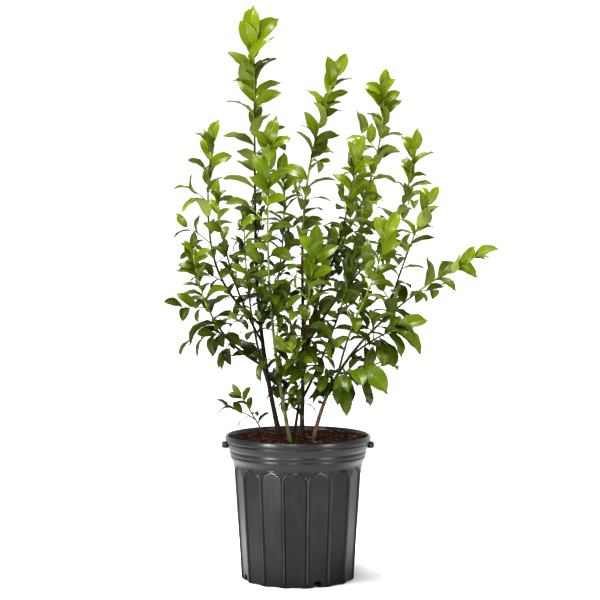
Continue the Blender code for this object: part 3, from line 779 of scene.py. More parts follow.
@dataclass(frozen=True)
class GrowthRule:
    """The seeded rule that fills the masses: the solids' own numbers first, then those of the finer growth."""

    gap: float = 0.0003
    gap_share: float = 1.3
    rim_radius: float = 0.134
    pot_height: float = 0.266
    soil_top: float = 0.259
    rooting: float = 0.013
    flare_length: float = 0.022
    flare_share: float = 0.35
    taper_power: float = 0.85
    tip_radius: float = 0.0011
    path_step: float = 0.030
    node_margins: tuple = (0.005, 0.0015)
    golden_turn: float = math.radians(137.5)
    leaf_width: float = 0.56
    widest_at: float = 0.46
    leaf_fold: float = 0.06
    leaf_grip: float = 0.0012
    grip_share: float = 0.62
    face_leans: tuple = (0.70, 0.35, 0.55, 0.75)
    smallest_leaf: float = 0.70
    size_wave: tuple = (0.12, 0.62)
    tip_leaf_spread: float = 9.0
    jitters: tuple = (0.3, 10.0, 0.12)
    spread_power: float = 1.3
    droop_power: float = 0.6
    twig_every: int = 5
    twig_stretch: tuple = (0.08, 0.72)
    twig_radius: float = 0.0012
    twig_lengths: tuple = (0.034, 0.058)
    twig_spreads: tuple = (44.0, 60.0)
    twig_leaves: tuple = (0.034, 0.050)
    twig_leaf_step: float = 0.015
    twig_leaf_spreads: tuple = (74.0, 28.0)
    twig_leaf_droop: float = 0.15
    twig_grip: float = 0.0006
    reach: float = 0.115
    lap: float = 0.034
    clearance: float = 0.0009
    pot_margin: float = 0.004
    crown_axis: tuple = (0.010, 0.030)
    heading_step: float = 0.004
    turns_tried: tuple = (0.0, 30.0, -30.0, 60.0, -60.0, 95.0, -95.0)
    sizes_tried: tuple = (1.0, 0.8)

    fine_chance: tuple = (0.60, 0.50)
    fine_lengths: tuple = (0.030, 0.062)
    fine_shrink: float = 0.5
    fine_leaves: tuple = (0.026, 0.044)
    fine_leaf_step: float = 0.012
    fine_spreads: tuple = (48.0, 78.0)
    fine_openings: tuple = (70.0, 25.0)
    fine_turn_jitter: float = 0.4
    fine_wander: float = 0.5
    least_fill: float = 0.01
    fine_droops: tuple = (0.2, 0.6)
    single_chances: tuple = (0.22, 0.55)
    single_sizes: tuple = (0.60, 0.95)
    single_opening: float = 14.0
    rosette: int = 2
    rosette_steps: tuple = (1.5, 2.2)
    stray_stretch: tuple = (0.30, 0.97)
    stray_leaves: tuple = (0.020, 0.036)
    stray_kinds: tuple = (0.45, 0.75)
    stray_droops: tuple = (0.4, 0.3)
    stray_lift: float = 3.0
    dry_twigs: tuple = (0.020, 0.042)

    def spots(self, stem: Stem, shares: Array | float) -> Array:
        """Points along a stem: P(t) = foot + t*chord + 4t(1-t)*bow + sin(2 pi t)*sway.

        Args:
            stem: the stem.
            shares: shares of its length.

        Returns:
            One row a share.
        """
        foot = self.start_of(stem)
        t = np.atleast_1d(np.asarray(shares, dtype=float))[:, None]
        chord = foot + (np.array(stem.tip) - foot) * t
        bowed = chord + np.array(stem.bow) * 4.0 * t * (1.0 - t)
        return bowed + np.array(stem.sway) * np.sin(2.0 * math.pi * t)

    def start_of(self, stem: Stem) -> Array:
        """A cane starts just under the soil, and a side stem in the middle of the stem that bears it.

        Args:
            stem: the stem.

        Returns:
            The point where it starts.
        """
        if stem.parent:
            return self.spots(STEM_OF[stem.parent], stem.share)[0]
        return np.array((*stem.start, self.soil_top - self.rooting))

    def length_of(self, stem: Stem) -> float:
        """The length of a stem's curve."""
        line = self.spots(stem, np.linspace(0.0, 1.0, 33))
        return float(np.linalg.norm(np.diff(line, axis=0), axis=1).sum())

    def radii_of(self, stem: Stem, shares: Array | float) -> Array:
        """Even taper from girth to tip, with a flare at a cane's foot.

        Args:
            stem: the stem.
            shares: shares of its length.

        Returns:
            One radius a share.
        """
        t = np.clip(np.atleast_1d(shares), 0.0, 1.0)
        taper = stem.girth + (self.tip_radius - stem.girth) * t**self.taper_power
        if stem.parent:
            return taper
        return taper + self.flare_share * stem.girth * np.exp(-t * self.length_of(stem) / self.flare_length)

    def place_on(self, stem: Stem, share: float, turn: float, climb: float = 0.0,
                 draw: random.Random | None = None) -> Place:
        """The place at one share of a stem's length."""
        ends = self.spots(stem, (share - self.heading_step, share + self.heading_step))
        return Place(self.spots(stem, share)[0], unit(ends[1] - ends[0]), turn, climb, draw)

    def steps_between(self, stem: Stem, low: float, high: float, step: float) -> Array:
        """Even shares from low to high, about one step apart."""
        return np.linspace(low, high, max(4, round(self.length_of(stem) * (high - low) / step) + 1))

    def leafy_shares(self, stem: Stem) -> tuple[float, float]:
        """The leafy stretch, which starts a hair past the end of the limb."""
        return 0.0 if stem.fused else stem.bare + self.gap_share * self.gap / self.length_of(stem), 1.0

    def nodes_up(self, stem: Stem) -> int:
        """How many steps there are between the nodes of the leafy stretch."""
        low, high = self.leafy_shares(stem)
        return max(3, round(self.length_of(stem) * (high - low) / stem.spacing))

    def leaf_guard(self, leaf: Leaf) -> Guard:
        """A folded kite, a little swollen, for the test against its neighbours.

        Args:
            leaf: the leaf.

        Returns:
            Its corners and its triangles.
        """
        swell = self.clearance
        side = unit(np.cross(leaf.face, leaf.along))
        length = leaf.length + 2.0 * swell
        half = 0.5 * self.leaf_width * leaf.length + swell
        middle = leaf.root + leaf.along * (self.widest_at * length) + leaf.face * (self.leaf_fold * leaf.length)
        grip = leaf.face * (leaf.grip + 0.5 * swell)
        corners = [leaf.root + leaf.along * length, leaf.root - grip, leaf.root + grip,
                   middle + side * half, middle - side * half]
        return corners, [each for k in range(3) for each in ((k, (k + 1) % 3, 4), ((k + 1) % 3, k, 3))]

    def line_guard(self, points: Array, radii: Array, sides: int = 5) -> Guard:
        """A plain tube round a line, swollen as much, for the same test.

        Args:
            points: the line, one row a ring.
            radii: one radius a ring.
            sides: how many corners a ring has.

        Returns:
            Its corners and its quads.
        """
        ways = np.gradient(points, axis=0)
        across = unit(np.cross(ways, (0.31, 0.87, 0.38)))
        out = spokes(across, np.cross(unit(ways), across), sides)
        rings = points[:, None, :] + (np.asarray(radii) + self.clearance)[:, None, None] * out
        faces = [[row * sides + k, row * sides + (k + 1) % sides, (row + 1) * sides + (k + 1) % sides,
                  (row + 1) * sides + k] for row in range(len(points) - 1) for k in range(sides)]
        return list(rings.reshape(-1, 3)), faces

    def stretch_guard(self, stem: Stem, low: float, high: float) -> tuple[Array, Guard]:
        """The line of one stretch of a stem, and its guard.

        Args:
            stem: the stem.
            low: the share where the stretch starts.
            high: the share where it ends.

        Returns:
            The line's points and the guard.
        """
        shares = self.steps_between(stem, low, high, self.path_step)
        line = self.spots(stem, shares)
        return line, self.line_guard(line, self.radii_of(stem, shares))

    def place_leaf(self, space: Space, place: Place, spread: float, droop: float, length: float, grip: float,
                   roll: float, order: int) -> Leaf | None:
        """The first leaf that fits of those tried by turn and size.

        Args:
            space: the mass's room.
            place: where the leaf leaves its stem.
            spread: the angle between the leaf and the stem.
            droop: how far the leaf hangs.
            length: its length before it is shortened to fit.
            grip: half the thickness of its root.
            roll: how far its face leans sideways.
            order: 0 on the stem, 1 on a twig, 2 on a fine twig.

        Returns:
            The leaf, or None where there is no room.
        """
        root, way = place.root, place.way
        up_stem, up, out_lean, roll_lean = self.face_leans
        outward = unit(np.array((root[0] - self.crown_axis[0], root[1] - self.crown_axis[1], 0.0)))
        for size in self.sizes_tried:
            for extra in self.turns_tried:
                out = bearing(way, place.turn + math.radians(extra))
                along = unit(math.cos(spread) * way + math.sin(spread) * out - droop * UP)
                face = up_stem * way + up * UP + out_lean * outward + roll_lean * roll * np.cross(way, out)
                face = unit(face - along * float(face @ along))
                leaf = Leaf(root, along, face, length * size, grip, place.climb, order)
                guard = self.leaf_guard(leaf)
                if space.holds(guard):
                    space.fill(guard)
                    return leaf
        return None

    def common_twig(self, space: Space, place: Place) -> Growth:
        """A short twig with its leaves, as in the solids.

        Args:
            space: the mass's room.
            place: where the twig leaves its stem.

        Returns:
            The twig and its leaves, or nothing where there is no room.
        """
        draw, root = place.draw, place.root
        reach = draw.uniform(*self.twig_lengths)
        spread = math.radians(draw.uniform(*self.twig_spreads))
        count = int(reach / self.twig_leaf_step) + 1
        bends = [draw.uniform(-1.0, 1.0) for _ in range(count)]
        sizes = [draw.uniform(*self.twig_leaves) for _ in range(count)]
        turn_jitter, spread_jitter, _ = self.jitters
        for extra in self.turns_tried:
            out = bearing(place.way, place.turn + math.radians(extra))
            along = unit(math.cos(spread) * place.way + math.sin(spread) * out)
            twig = Twig(root, root + along * reach, place.climb, 1)
            if not space.holds(self.line_guard(np.array((twig.root, twig.tip)), np.full(2, self.twig_radius))):
                continue
            leaves = []
            for k, (bend, size) in enumerate(zip(bends, sizes)):
                share = (k + 1.0) / count
                node = Place(root + along * (reach * share - self.node_margins[1]), along,
                             place.turn + k * math.pi + turn_jitter * bend, place.climb)
                opening = math.radians(between(self.twig_leaf_spreads, share) + spread_jitter * bend)
                leaves.append(self.place_leaf(space, node, opening, self.twig_leaf_droop, size, self.twig_grip,
                                              bend, 1))
            return Growth([leaf for leaf in leaves if leaf], [twig])
        return Growth()

    def dress_stem(self, stem: Stem, space: Space) -> Growth:
        """Leaves and twigs up one stem: a golden spiral of nodes, wide below and steep at the tip.

        Args:
            stem: the stem.
            space: its mass's room.

        Returns:
            What grows on it in the solids as well, with its leaves trimmed.
        """
        growth = Growth()
        low, high = self.leafy_shares(stem)
        length, count = self.length_of(stem), self.nodes_up(stem)
        margins = [margin / length for margin in self.node_margins]
        turn_jitter, spread_jitter, size_jitter = self.jitters
        for k in range(count + 1):
            draw = random.Random(f"{stem.name} {k}")
            jitter = [draw.uniform(-1.0, 1.0) for _ in range(4)]
            climb = k / count
            share = min(max(low + (high - low) * climb, low + margins[0]), high - margins[1])
            turn = math.radians(stem.turn) + k * self.golden_turn + turn_jitter * jitter[0]
            place = self.place_on(stem, share, turn, climb, draw)
            due = k % self.twig_every == self.twig_every // 2
            if due and self.twig_stretch[0] < climb < self.twig_stretch[1]:
                if growth.take(self.common_twig(space, place)):
                    continue
            swing = between(stem.spread, climb**self.spread_power)
            swing = self.tip_leaf_spread if k == count else swing + spread_jitter * jitter[1]
            droop = between(stem.droop, climb**self.droop_power)
            wave = math.sin(math.pi * (self.size_wave[0] + self.size_wave[1] * climb))
            size = stem.leaf * (self.smallest_leaf + (1.0 - self.smallest_leaf) * wave)
            size *= 1.0 + size_jitter * jitter[2]
            grip = min(self.leaf_grip, self.grip_share * float(self.radii_of(stem, share)[0]))
            growth.leaves.append(self.place_leaf(space, place, math.radians(swing), droop, size, grip,
                                                 jitter[3], 0))
        return self.trimmed(stem, growth)

    @staticmethod
    def trimmed(stem: Stem, growth: Growth) -> Growth:
        """The growth with each leaf at its stem's own share of the rule's length, even from foot to tip.

        Args:
            stem: the stem, which holds the shares at its foot and tip.
            growth: leaves, or None where there was no room, and twigs.

        Returns:
            The leaves that found room, trimmed, and the same twigs.
        """
        leaves = [replace(leaf, length=leaf.length * between(stem.trim, leaf.climb))
                  for leaf in growth.leaves if leaf]
        return Growth(leaves, growth.twigs)

    def finer_growth(self, stem: Stem, space: Space) -> Growth:
        """Fine twigs half way between the lower nodes, single leaves between the upper ones, and a tip rosette.

        Args:
            stem: the stem.
            space: its mass's room.

        Returns:
            What grows on it in the scene alone, with its leaves trimmed.
        """
        growth = Growth()
        low, high = self.leafy_shares(stem)
        length, count, margin = self.length_of(stem), self.nodes_up(stem), self.node_margins[1]
        for k in range(count):
            draw = random.Random(f"{stem.name} fine {k}")
            climb = (k + 0.5) / count
            wander = draw.uniform(-self.fine_wander, self.fine_wander)
            turn = math.radians(stem.turn) + (k + 0.5) * self.golden_turn + math.pi + wander
            place = self.place_on(stem, low + (high - low) * climb, turn, climb, draw)
            luck = draw.random() / max(stem.fill, self.least_fill)
            if luck < self.fine_chance[0] * (1.0 - climb / self.fine_chance[1]):
                growth.take(self.fine_twig(space, place, stem.droop[0] * (1.0 - climb)))
            elif luck < between(self.single_chances, climb):
                growth.leaves.append(self.fine_leaf(space, place, stem))
        tip = high - self.rosette_steps[0] * margin / length
        for k in range(self.rosette):
            turn = math.radians(stem.turn) + 2.0 * math.pi * (k + 0.5) / self.rosette
            share = tip - self.rosette_steps[1] * margin * k / length
            place = self.place_on(stem, share, turn, 1.0, random.Random(f"{stem.name} tip {k}"))
            growth.leaves.append(self.fine_leaf(space, place, stem))
        return self.trimmed(stem, growth)

    def stray_growth(self, stem: Stem, space: Space) -> Growth:
        """Small leaves, leafy sprigs and dry twigs on the bare part of a limb.

        Args:
            stem: the stem.
            space: the room about it.

        Returns:
            What grows there in the scene alone.
        """
        growth = Growth()
        for k in range(stem.strays):
            draw = random.Random(f"{stem.name} stray {k}")
            share = stem.bare * draw.uniform(*self.stray_stretch)
            limb = self.place_on(stem, share, draw.uniform(0.0, 2.0 * math.pi), 0.0, draw)
            kind = draw.random()
            out = bearing(limb.way, limb.turn)
            radius = float(self.radii_of(stem, share)[0])
            place = replace(limb, root=limb.root + out * (radius + self.stray_lift * self.clearance))
            if kind < self.stray_kinds[0]:
                sprig = self.fine_twig(space, place, self.stray_droops[0])
                growth.take(Growth(sprig.leaves, [replace(twig, root=limb.root) for twig in sprig.twigs]))
                continue
            spread = math.radians(draw.uniform(*self.fine_spreads))
            if kind < self.stray_kinds[1]:
                leaf = self.place_leaf(space, place, spread, self.stray_droops[1],
                                       draw.uniform(*self.stray_leaves), self.twig_grip, 0.0, 2)
                if leaf:
                    growth.leaves.append(replace(leaf, root=limb.root + out * 0.5 * radius))
            else:
                run = (math.cos(spread) * limb.way + math.sin(spread) * out) * draw.uniform(*self.dry_twigs)
                growth.twigs.append(Twig(limb.root, limb.root + run, 0.0, 3))
        return growth

    def fine_leaf(self, space: Space, place: Place, stem: Stem) -> Leaf | None:
        """One more leaf on the stem itself, a little smaller than its neighbours.

        Args:
            space: the mass's room.
            place: where the leaf leaves its stem.
            stem: the stem that bears it.

        Returns:
            The leaf, or None where there is no room.
        """
        bend = place.draw.uniform(-1.0, 1.0)
        size = stem.leaf * place.draw.uniform(*self.single_sizes)
        spread = between(stem.spread, place.climb**self.spread_power)
        spread += self.single_opening + self.jitters[1] * bend
        return self.place_leaf(space, place, math.radians(spread), stem.droop[1], size, self.twig_grip, bend, 2)

    def fine_twig(self, space: Space, place: Place, droop: float) -> Growth:
        """A fine twig with small leaves to both sides, kept to what has room.

        Args:
            space: the mass's room.
            place: where the twig leaves its stem.
            droop: how far its leaves hang beyond the common droop.

        Returns:
            The twig and its leaves, or nothing where none of them has room.
        """
        draw, root = place.draw, place.root
        reach = draw.uniform(*self.fine_lengths) * (1.0 - self.fine_shrink * place.climb)
        spread = math.radians(draw.uniform(*self.fine_spreads))
        run = unit(math.cos(spread) * place.way + math.sin(spread) * bearing(place.way, place.turn)) * reach
        count = int(reach / self.fine_leaf_step) + 1
        droop = self.fine_droops[0] + self.fine_droops[1] * droop
        leaves = []
        for k in range(count):
            part = (k + 1.0) / count
            bend = draw.uniform(-1.0, 1.0)
            size = draw.uniform(*self.fine_leaves)
            opening = math.radians(between(self.fine_openings, part) + self.jitters[1] * bend)
            turn = place.turn + k * math.pi + self.fine_turn_jitter * bend
            node = Place(root + run * part, unit(run), turn, place.climb)
            leaves.append(self.place_leaf(space, node, opening, droop, size, self.twig_grip, bend, 2))
        leaves = [leaf for leaf in leaves if leaf]
        return Growth(leaves, [Twig(root, root + run, place.climb, 2)]) if leaves else Growth()

    def grow(self) -> dict[str, Growth]:
        """Every mass's leaves and twigs by name, each kept clear of what grew before it.

        Returns:
            For each mass the growth of the solids' rule first, and then its finer growth.
        """
        groups, lines, shoots, limbs = {}, {}, {}, []
        for stem in STEMS:
            group = stem.group
            line, guard = self.stretch_guard(stem, *self.leafy_shares(stem))
            lines[group] = np.concatenate([lines[group], line]) if group in lines else line
            groups.setdefault(group, []).append(stem)
            shoots.setdefault(group, []).append(guard)
            if not stem.fused:
                limbs.append(self.stretch_guard(stem, 0.0, stem.bare)[1])
        masses, spaces, grown = {}, {}, {}

        def taken(own: str) -> BVHTree:
            """All limbs, with the shoots and leaves of every other mass."""
            return merged(limbs + [guard for guards in (shoots, grown) for name, some in guards.items()
                                   if name != own for guard in some])

        for group, stems in groups.items():
            masses[group], spaces[group] = Growth(), Space(self, group, lines, taken(group))
            for stem in stems:
                masses[group].take(self.dress_stem(stem, spaces[group]))
            grown[group] = [self.leaf_guard(leaf) for leaf in masses[group].leaves]
        loose = replace(self, reach=1.0, lap=1.0)
        for group, stems in groups.items():
            space = spaces[group]
            space.solids = taken(group)
            for stem in stems:
                masses[group].take(self.finer_growth(stem, space))
                masses[group].take(self.stray_growth(stem, Space(loose, group, lines, space.solids)))
            grown[group] = [self.leaf_guard(leaf) for leaf in masses[group].leaves]
        return masses


# The bush


@dataclass(frozen=True)
class Blade:
    """The leaf's own form. Lengths are shares of the leaf's length unless they say metres."""

    width: float = 0.47
    widths: tuple = (0.86, 1.10)
    widening: tuple = (0.92, 0.12)
    widest: float = 0.50
    fullness: float = 0.58
    stalk: float = 0.05
    half_stalk: float = 0.6 * MM
    half_thick: float = 0.18 * MM
    rib_thick: float = 0.45 * MM
    thickest: float = 0.8
    half_rib: float = 0.55 * MM
    buried: float = 0.4 * MM
    rings: tuple = (0.03, 0.12, 0.26, 0.43, 0.60, 0.76, 0.89, 0.97)
    inner: float = 0.55
    bends: tuple = (0.70, 1.90)
    folds: tuple = (0.20, 0.80)
    curl: float = 0.22
    twists: float = 0.80
    ripple: float = 0.10
    ripples: tuple = (4.5 * math.pi, 1.5)
    upper: tuple = (0.40, 0.95)
    top: tuple = (0.80, 1.0)
    front_lean: float = 2.0
    level_lean: float = 1.8
    tip_lean: float = 1.3
    fan: float = 0.55

    def frames(self, leaves: list[Leaf]) -> tuple[Array, Array, Array]:
        """The way each leaf points and the way its face looks, fanned out and turned to the light at the tips.

        Args:
            leaves: the leaves of one piece.

        Returns:
            The ways along, the faces and the ways across, one row a leaf.
        """
        along, face = (np.array([getattr(leaf, key) for leaf in leaves]) for key in ("along", "face"))
        climb = np.array([leaf.climb for leaf in leaves])[:, None]
        tips = smooth_step(*self.upper, climb)
        along = unit(along * (1.0 - np.abs(FRONT) * self.fan * tips))
        steep = np.clip(along[:, 2:], 0.0, 1.0)**4 * smooth_step(*self.top, climb)
        lean = self.front_lean * steep + self.tip_lean * tips
        face = face + self.level_lean * (1.0 - 0.5 * climb) * UP + lean * FRONT
        face = unit(face - along * np.sum(face * along, axis=1, keepdims=True))
        return along, face, unit(np.cross(face, along))

    def shell(self, leaves: list[Leaf], tones: Array, seed: int) -> Shell:
        """Every leaf's closed blade at once, as arrays of leaf by ring by corner.

        The centreline is an arc of angle b that starts and ends on the leaf's chord: with s = b(1/2 - u),
        x = L(sin(b/2) - sin s)/b and z = L(cos s - cos(b/2))/b. The half width is
        w = W L/2 sin(pi u^p)^q. A point at v across stands v w to the side and |v| w fold - v^2 w curl
        up, and the upper and lower skin lie half a thickness off that.

        Args:
            leaves: the leaves of one piece.
            tones: the number of each leaf's tone.
            seed: picks the random bends.

        Returns:
            The blades as one shell, with a chart of u along and v across.
        """
        draw = np.random.default_rng(seed)
        count = len(leaves)
        along, face, side = self.frames(leaves)
        root = np.array([leaf.root for leaf in leaves])
        length = np.array([leaf.length for leaf in leaves])
        climb = np.array([leaf.climb for leaf in leaves])
        bend = draw.uniform(*self.bends, count)
        fold = draw.uniform(*self.folds, count)
        twist = draw.uniform(-self.twists, self.twists, count)
        phase = draw.uniform(0.0, 2.0 * math.pi, count)
        width = self.width * draw.uniform(*self.widths, count) * (self.widening[0] + self.widening[1] * climb)

        u = np.array(self.rings)
        slope = bend[:, None] * (0.5 - u)
        reach = length[:, None] * (np.sin(bend / 2.0)[:, None] - np.sin(slope)) / bend[:, None]
        lift = length[:, None] * (np.cos(slope) - np.cos(bend / 2.0)[:, None]) / bend[:, None]
        power = math.log(0.5) / math.log(self.widest)
        blade = np.clip((u - self.stalk) / (1.0 - self.stalk), 0.0, 1.0)
        outline = np.sin(math.pi * blade**power)**self.fullness
        half = np.maximum(0.5 * (width * length)[:, None] * outline, self.half_stalk)
        turn = twist[:, None] * u
        ahead = along[:, None] * np.cos(slope)[..., None] + face[:, None] * np.sin(slope)[..., None]
        normal = face[:, None] * np.cos(slope)[..., None] - along[:, None] * np.sin(slope)[..., None]
        across = side[:, None] * np.cos(turn)[..., None] + normal * np.sin(turn)[..., None]
        normal = np.cross(ahead, across)
        centre = root[:, None] + along[:, None] * reach[..., None] + face[:, None] * lift[..., None]

        rib = np.clip(self.half_rib / half, 0.0, 0.5)
        one = np.ones_like(rib)
        inner = self.inner * one
        v = np.stack((-one, -inner, -rib, rib, inner, one, inner, rib, -rib, -inner), axis=-1)
        thin, thick = (np.minimum(most, self.thickest * half) for most in (self.half_thick, self.rib_thick))
        skin = np.stack((0 * one, thin, thin, thin, thin, 0 * one, -thin, -thick, -thick, -thin), axis=-1)
        wave = np.sin(self.ripples[0] * u[None, :, None] + phase[:, None, None] + self.ripples[1] * v)
        wave = self.ripple * wave
        rise = np.abs(v) * fold[:, None, None] - v**2 * self.curl + v**2 * wave
        rows = (centre[:, :, None] + across[:, :, None] * (v * half[..., None])[..., None]
                + normal[:, :, None] * (rise * half[..., None] + skin)[..., None])
        tip = root + along * length[:, None]
        base = root - along * self.buried
        corners = np.concatenate((base[:, None], rows.reshape(count, -1, 3), tip[:, None]), axis=1)

        quads, triangles = ring_faces(len(u), v.shape[2])
        parts = np.array((0, 0, 1, 0, 0, 2, 2, 1, 2, 2))
        below = np.tile(np.arange(len(parts)) >= len(parts) // 2, len(u) - 1)
        quads[below] = np.roll(quads[below], -1, axis=1)
        quads, triangles = quads[:, ::-1], triangles[:, ::-1]
        start = (np.arange(count) * corners.shape[1])[:, None, None]
        across_chart = np.broadcast_to(v.mean(axis=0), v.shape[1:])
        chart = np.stack((np.repeat(u, v.shape[2]), across_chart.ravel()), axis=-1)
        chart = np.concatenate(([[0.0, 0.0]], chart, [[1.0, 0.0]]))
        return Shell(
            corners.reshape(-1, 3),
            (quads[None] + start).reshape(-1, 4),
            (triangles[None] + start).reshape(-1, 3),
            (tones[:, None] * 3 + np.tile(parts, len(u) - 1)).ravel(),
            (tones[:, None] * 3 + np.tile(parts, 2)).ravel(),
            np.tile(chart, (count, 1)),
        )


@dataclass
class Bush:
    """Canes, boughs, leafy shoots, twigs and leaves."""

    rule: GrowthRule = field(default_factory=GrowthRule)
    blade: Blade = field(default_factory=Blade)
    limb_pieces: tuple = (
        (Bark.BROWN, "brown_canes_and_boughs", "brown_bark"),
        (Bark.PINK, "pink_cane", "pink_bark"),
        (Bark.GREEN, "green_canes_and_boughs", "green_bark"),
    )
    limb_step: float = 0.0025
    limb_sides: int = 16
    shoot_step: float = 0.006
    shoot_sides: int = 8
    twig_sides: int = 6
    twig_radii: tuple = (1.0, 0.75, 0.55)
    twig_arches: tuple = (0.05, 0.05, 0.18)
    bark_crease: float = 60.0
    node_swell: float = 0.13
    node_length: float = 1.4 * MM
    furrow: float = 0.05
    furrow_length: float = 9.0 * MM
    furrow_turns: float = 1.6
    noise_corner: float = 5.0
    finer: tuple = (0.5, 2.3)
    node_lobe: tuple = (0.4, 1.0)
    twig_taper: float = 0.45
    twig_ages: tuple = (0.35, 0.6)
    first_node: float = 0.006
    shoot_pinch: float = 0.6
    side_stem_age: float = 0.30
    leaf_crease: float = 50.0
    crown_height: tuple = (0.35, 0.65)
    crown_axis: tuple = (0.01, 0.03)
    crown_reach: float = 0.20
    tone_seed: int = 40
    blade_seed: int = 70
    most_leaves: int = 1200
    tone_spread: float = 0.12
    tone_shares: tuple = (0.12, 0.24, 0.57, 0.10, 0.10, 0.04)

    def skin_of(self, stem: Stem, shares: Array) -> Array:
        """The number of the skin at each share of a stem; a side stem starts as old as its parent is there.

        Args:
            stem: the stem.
            shares: shares of its length.

        Returns:
            Numbers in the list of bark finishes.
        """
        ages = self.side_stem_age + (1.0 - self.side_stem_age) * shares if stem.parent else shares
        ends, skins = zip(*(stem.skins or SKINS[stem.bark]))
        return np.array(skins)[np.minimum(np.searchsorted(ends, ages), len(ends) - 1)]

    def stem_tube(self, stem: Stem, shares: Array, sides: int, depth: float, pinch: float = 1.0) -> Shell:
        """A stem with furrows and leaf nodes: r(s, a) = r(s)(1 + furrows(s, a) + swellings at the nodes).

        Args:
            stem: the stem.
            shares: the share of the stem's length at each ring.
            sides: how many corners a ring has.
            depth: how deep the furrows are, as a share of the radius.
            pinch: the last ring's radius against the rule's.

        Returns:
            The closed tube, with its skins.
        """
        turns = turns_of(sides)
        length = self.rule.length_of(stem)
        run = shares * length
        seed = sum(map(ord, stem.name))
        places = self.furrow_turns * circle(sides)[None, :, :2] + self.noise_corner
        along = np.broadcast_to((run / self.furrow_length)[:, None, None], (len(run), sides, 1))
        places = np.concatenate((np.broadcast_to(places, (len(run), sides, 2)), along), axis=-1)
        furrows = value_noise(places, seed) + self.finer[0] * value_noise(places * self.finer[1], seed + 1)
        nodes = np.arange(self.first_node, length, stem.spacing)
        node_turns = np.arange(len(nodes)) * self.rule.golden_turn
        near = np.exp(-(((run[:, None] - nodes[None, :]) / self.node_length)**2))
        lobe = between(self.node_lobe, np.clip(np.cos(turns[:, None] - node_turns[None, :]), 0.0, 1.0)**2)
        relief = 1.0 + depth * furrows + self.node_swell * (near @ lobe.T)
        radii = self.rule.radii_of(stem, shares)[:, None] * relief
        radii[-1] *= pinch
        return tube_shell(self.rule.spots(stem, shares), radii, self.skin_of(stem, shares[:-1]))

    def limbs(self, finishes: list[Material]) -> None:
        """Canes and boughs with the relief of their bark, one piece for each kind of bark.

        Args:
            finishes: the bark materials.
        """
        for bark, name, slot in self.limb_pieces:
            stems = [stem for stem in STEMS if stem.bark == bark and not stem.fused]
            shells = [self.stem_tube(stem, self.rule.steps_between(stem, 0.0, stem.bare, self.limb_step),
                                     self.limb_sides, self.furrow) for stem in stems]
            piece = joined(shells).piece(name, finishes, self.bark_crease)
            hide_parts(*(f"{'bough' if stem.parent else 'cane'}_{stem.name}" for stem in stems))

    def twig_tube(self, stem: Stem, twig: Twig) -> Shell:
        """A slightly arched twig, a skin younger than its stem is there; a dry one is old and brown.

        Args:
            stem: the stem that bears it.
            twig: the twig.

        Returns:
            The closed tube.
        """
        t = np.linspace(0.0, 1.0, 6)
        run = twig.tip - twig.root
        arch = self.twig_arches[twig.order - 1] * np.linalg.norm(run) * np.sin(math.pi * t)
        line = twig.root + run * t[:, None] + UP * arch[:, None]
        foot = self.rule.twig_radius * self.twig_radii[twig.order - 1]
        radii = np.repeat((foot * (1.0 - self.twig_taper * t))[:, None], self.twig_sides, axis=1)
        share = self.twig_ages[0] + self.twig_ages[1] * twig.climb
        skin = int(self.skin_of(stem, np.array([share]))[0]) + 1
        return tube_shell(line, radii, 0 if twig.order == 3 else max(min(skin, len(BARKS) - 1), 3))

    def shoots(self, masses: dict[str, Growth], finishes: list[Material]) -> None:
        """The leafy stems that go on from the limbs, and their twigs, as one piece each.

        Args:
            masses: the growth by the mass's name.
            finishes: the bark materials.
        """
        rule = self.rule
        stems = [self.stem_tube(stem, rule.steps_between(stem, *rule.leafy_shares(stem), self.shoot_step),
                                self.shoot_sides, 0.5 * self.furrow, self.shoot_pinch) for stem in STEMS]
        twigs = [self.twig_tube(STEM_OF[group], twig) for group, mass in masses.items() for twig in mass.twigs]
        for name, shells in (("leafy_shoots", stems), ("twigs", twigs)):
            joined(shells).piece(name, finishes, self.bark_crease)

    def tones(self, leaves: list[Leaf], seed: int) -> Array:
        """Each leaf's tone: paler at the shoots' tips, where the growth is new, and painted light and shade
        besides, brighter high up, far out and at the right, darker low down and inside the crown.

        light = base + a climb + b height + c distance from the crown's axis + d side - e for a twig's leaf,
        with a little chance.

        Args:
            leaves: the leaves.
            seed: picks the chances.

        Returns:
            Numbers in the list of leaf tones.
        """
        x, y, z = np.array([leaf.root for leaf in leaves]).T
        climb, order = (np.array([getattr(leaf, key) for leaf in leaves]) for key in ("climb", "order"))
        foot, rise = self.crown_height
        height = np.clip((z - foot) / rise, 0.0, 1.0)
        reach = np.hypot(x - self.crown_axis[0], y - self.crown_axis[1])
        out = np.clip(reach / self.crown_reach, 0.0, 1.0)
        side = np.clip(x / self.crown_reach, -1.0, 1.0)
        chance = np.random.default_rng(seed).normal(0.0, self.tone_spread, len(leaves))
        base, up_stem, up, outward, right, twig = self.tone_shares
        # Height, distance out and side paint light and shade into the colour; the climb stands for the paler
        # new growth at the tips
        light = base + up_stem * climb + up * height + outward * out + right * side
        light = light - twig * (order > 0) + chance
        return np.clip((light * len(LEAF_TONES)).astype(int), 0, len(LEAF_TONES) - 1)

    def foliage(self, masses: dict[str, Growth]) -> None:
        """All the leaves, in pieces that stay small enough for one mesh file each.

        Args:
            masses: the growth by the mass's name.
        """
        finishes = [material for tone in LEAF_TONES for material in tone.materials()]
        batches = [([], [])]
        for group, mass in masses.items():
            if len(batches[-1][0]) + len(mass.leaves) > self.most_leaves:
                batches.append(([], []))
            batches[-1][0].extend(mass.leaves)
            batches[-1][1].append(f"leaves_{group}")
        for number_of, (leaves, nodes) in enumerate(batches):
            tones = self.tones(leaves, self.tone_seed + number_of)
            shell = self.blade.shell(leaves, tones, self.blade_seed + number_of)
            piece = shell.piece(f"leaves_{number_of + 1}", finishes, self.leaf_crease)
            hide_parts(*nodes)
            log.info("%d leaves", len(leaves))

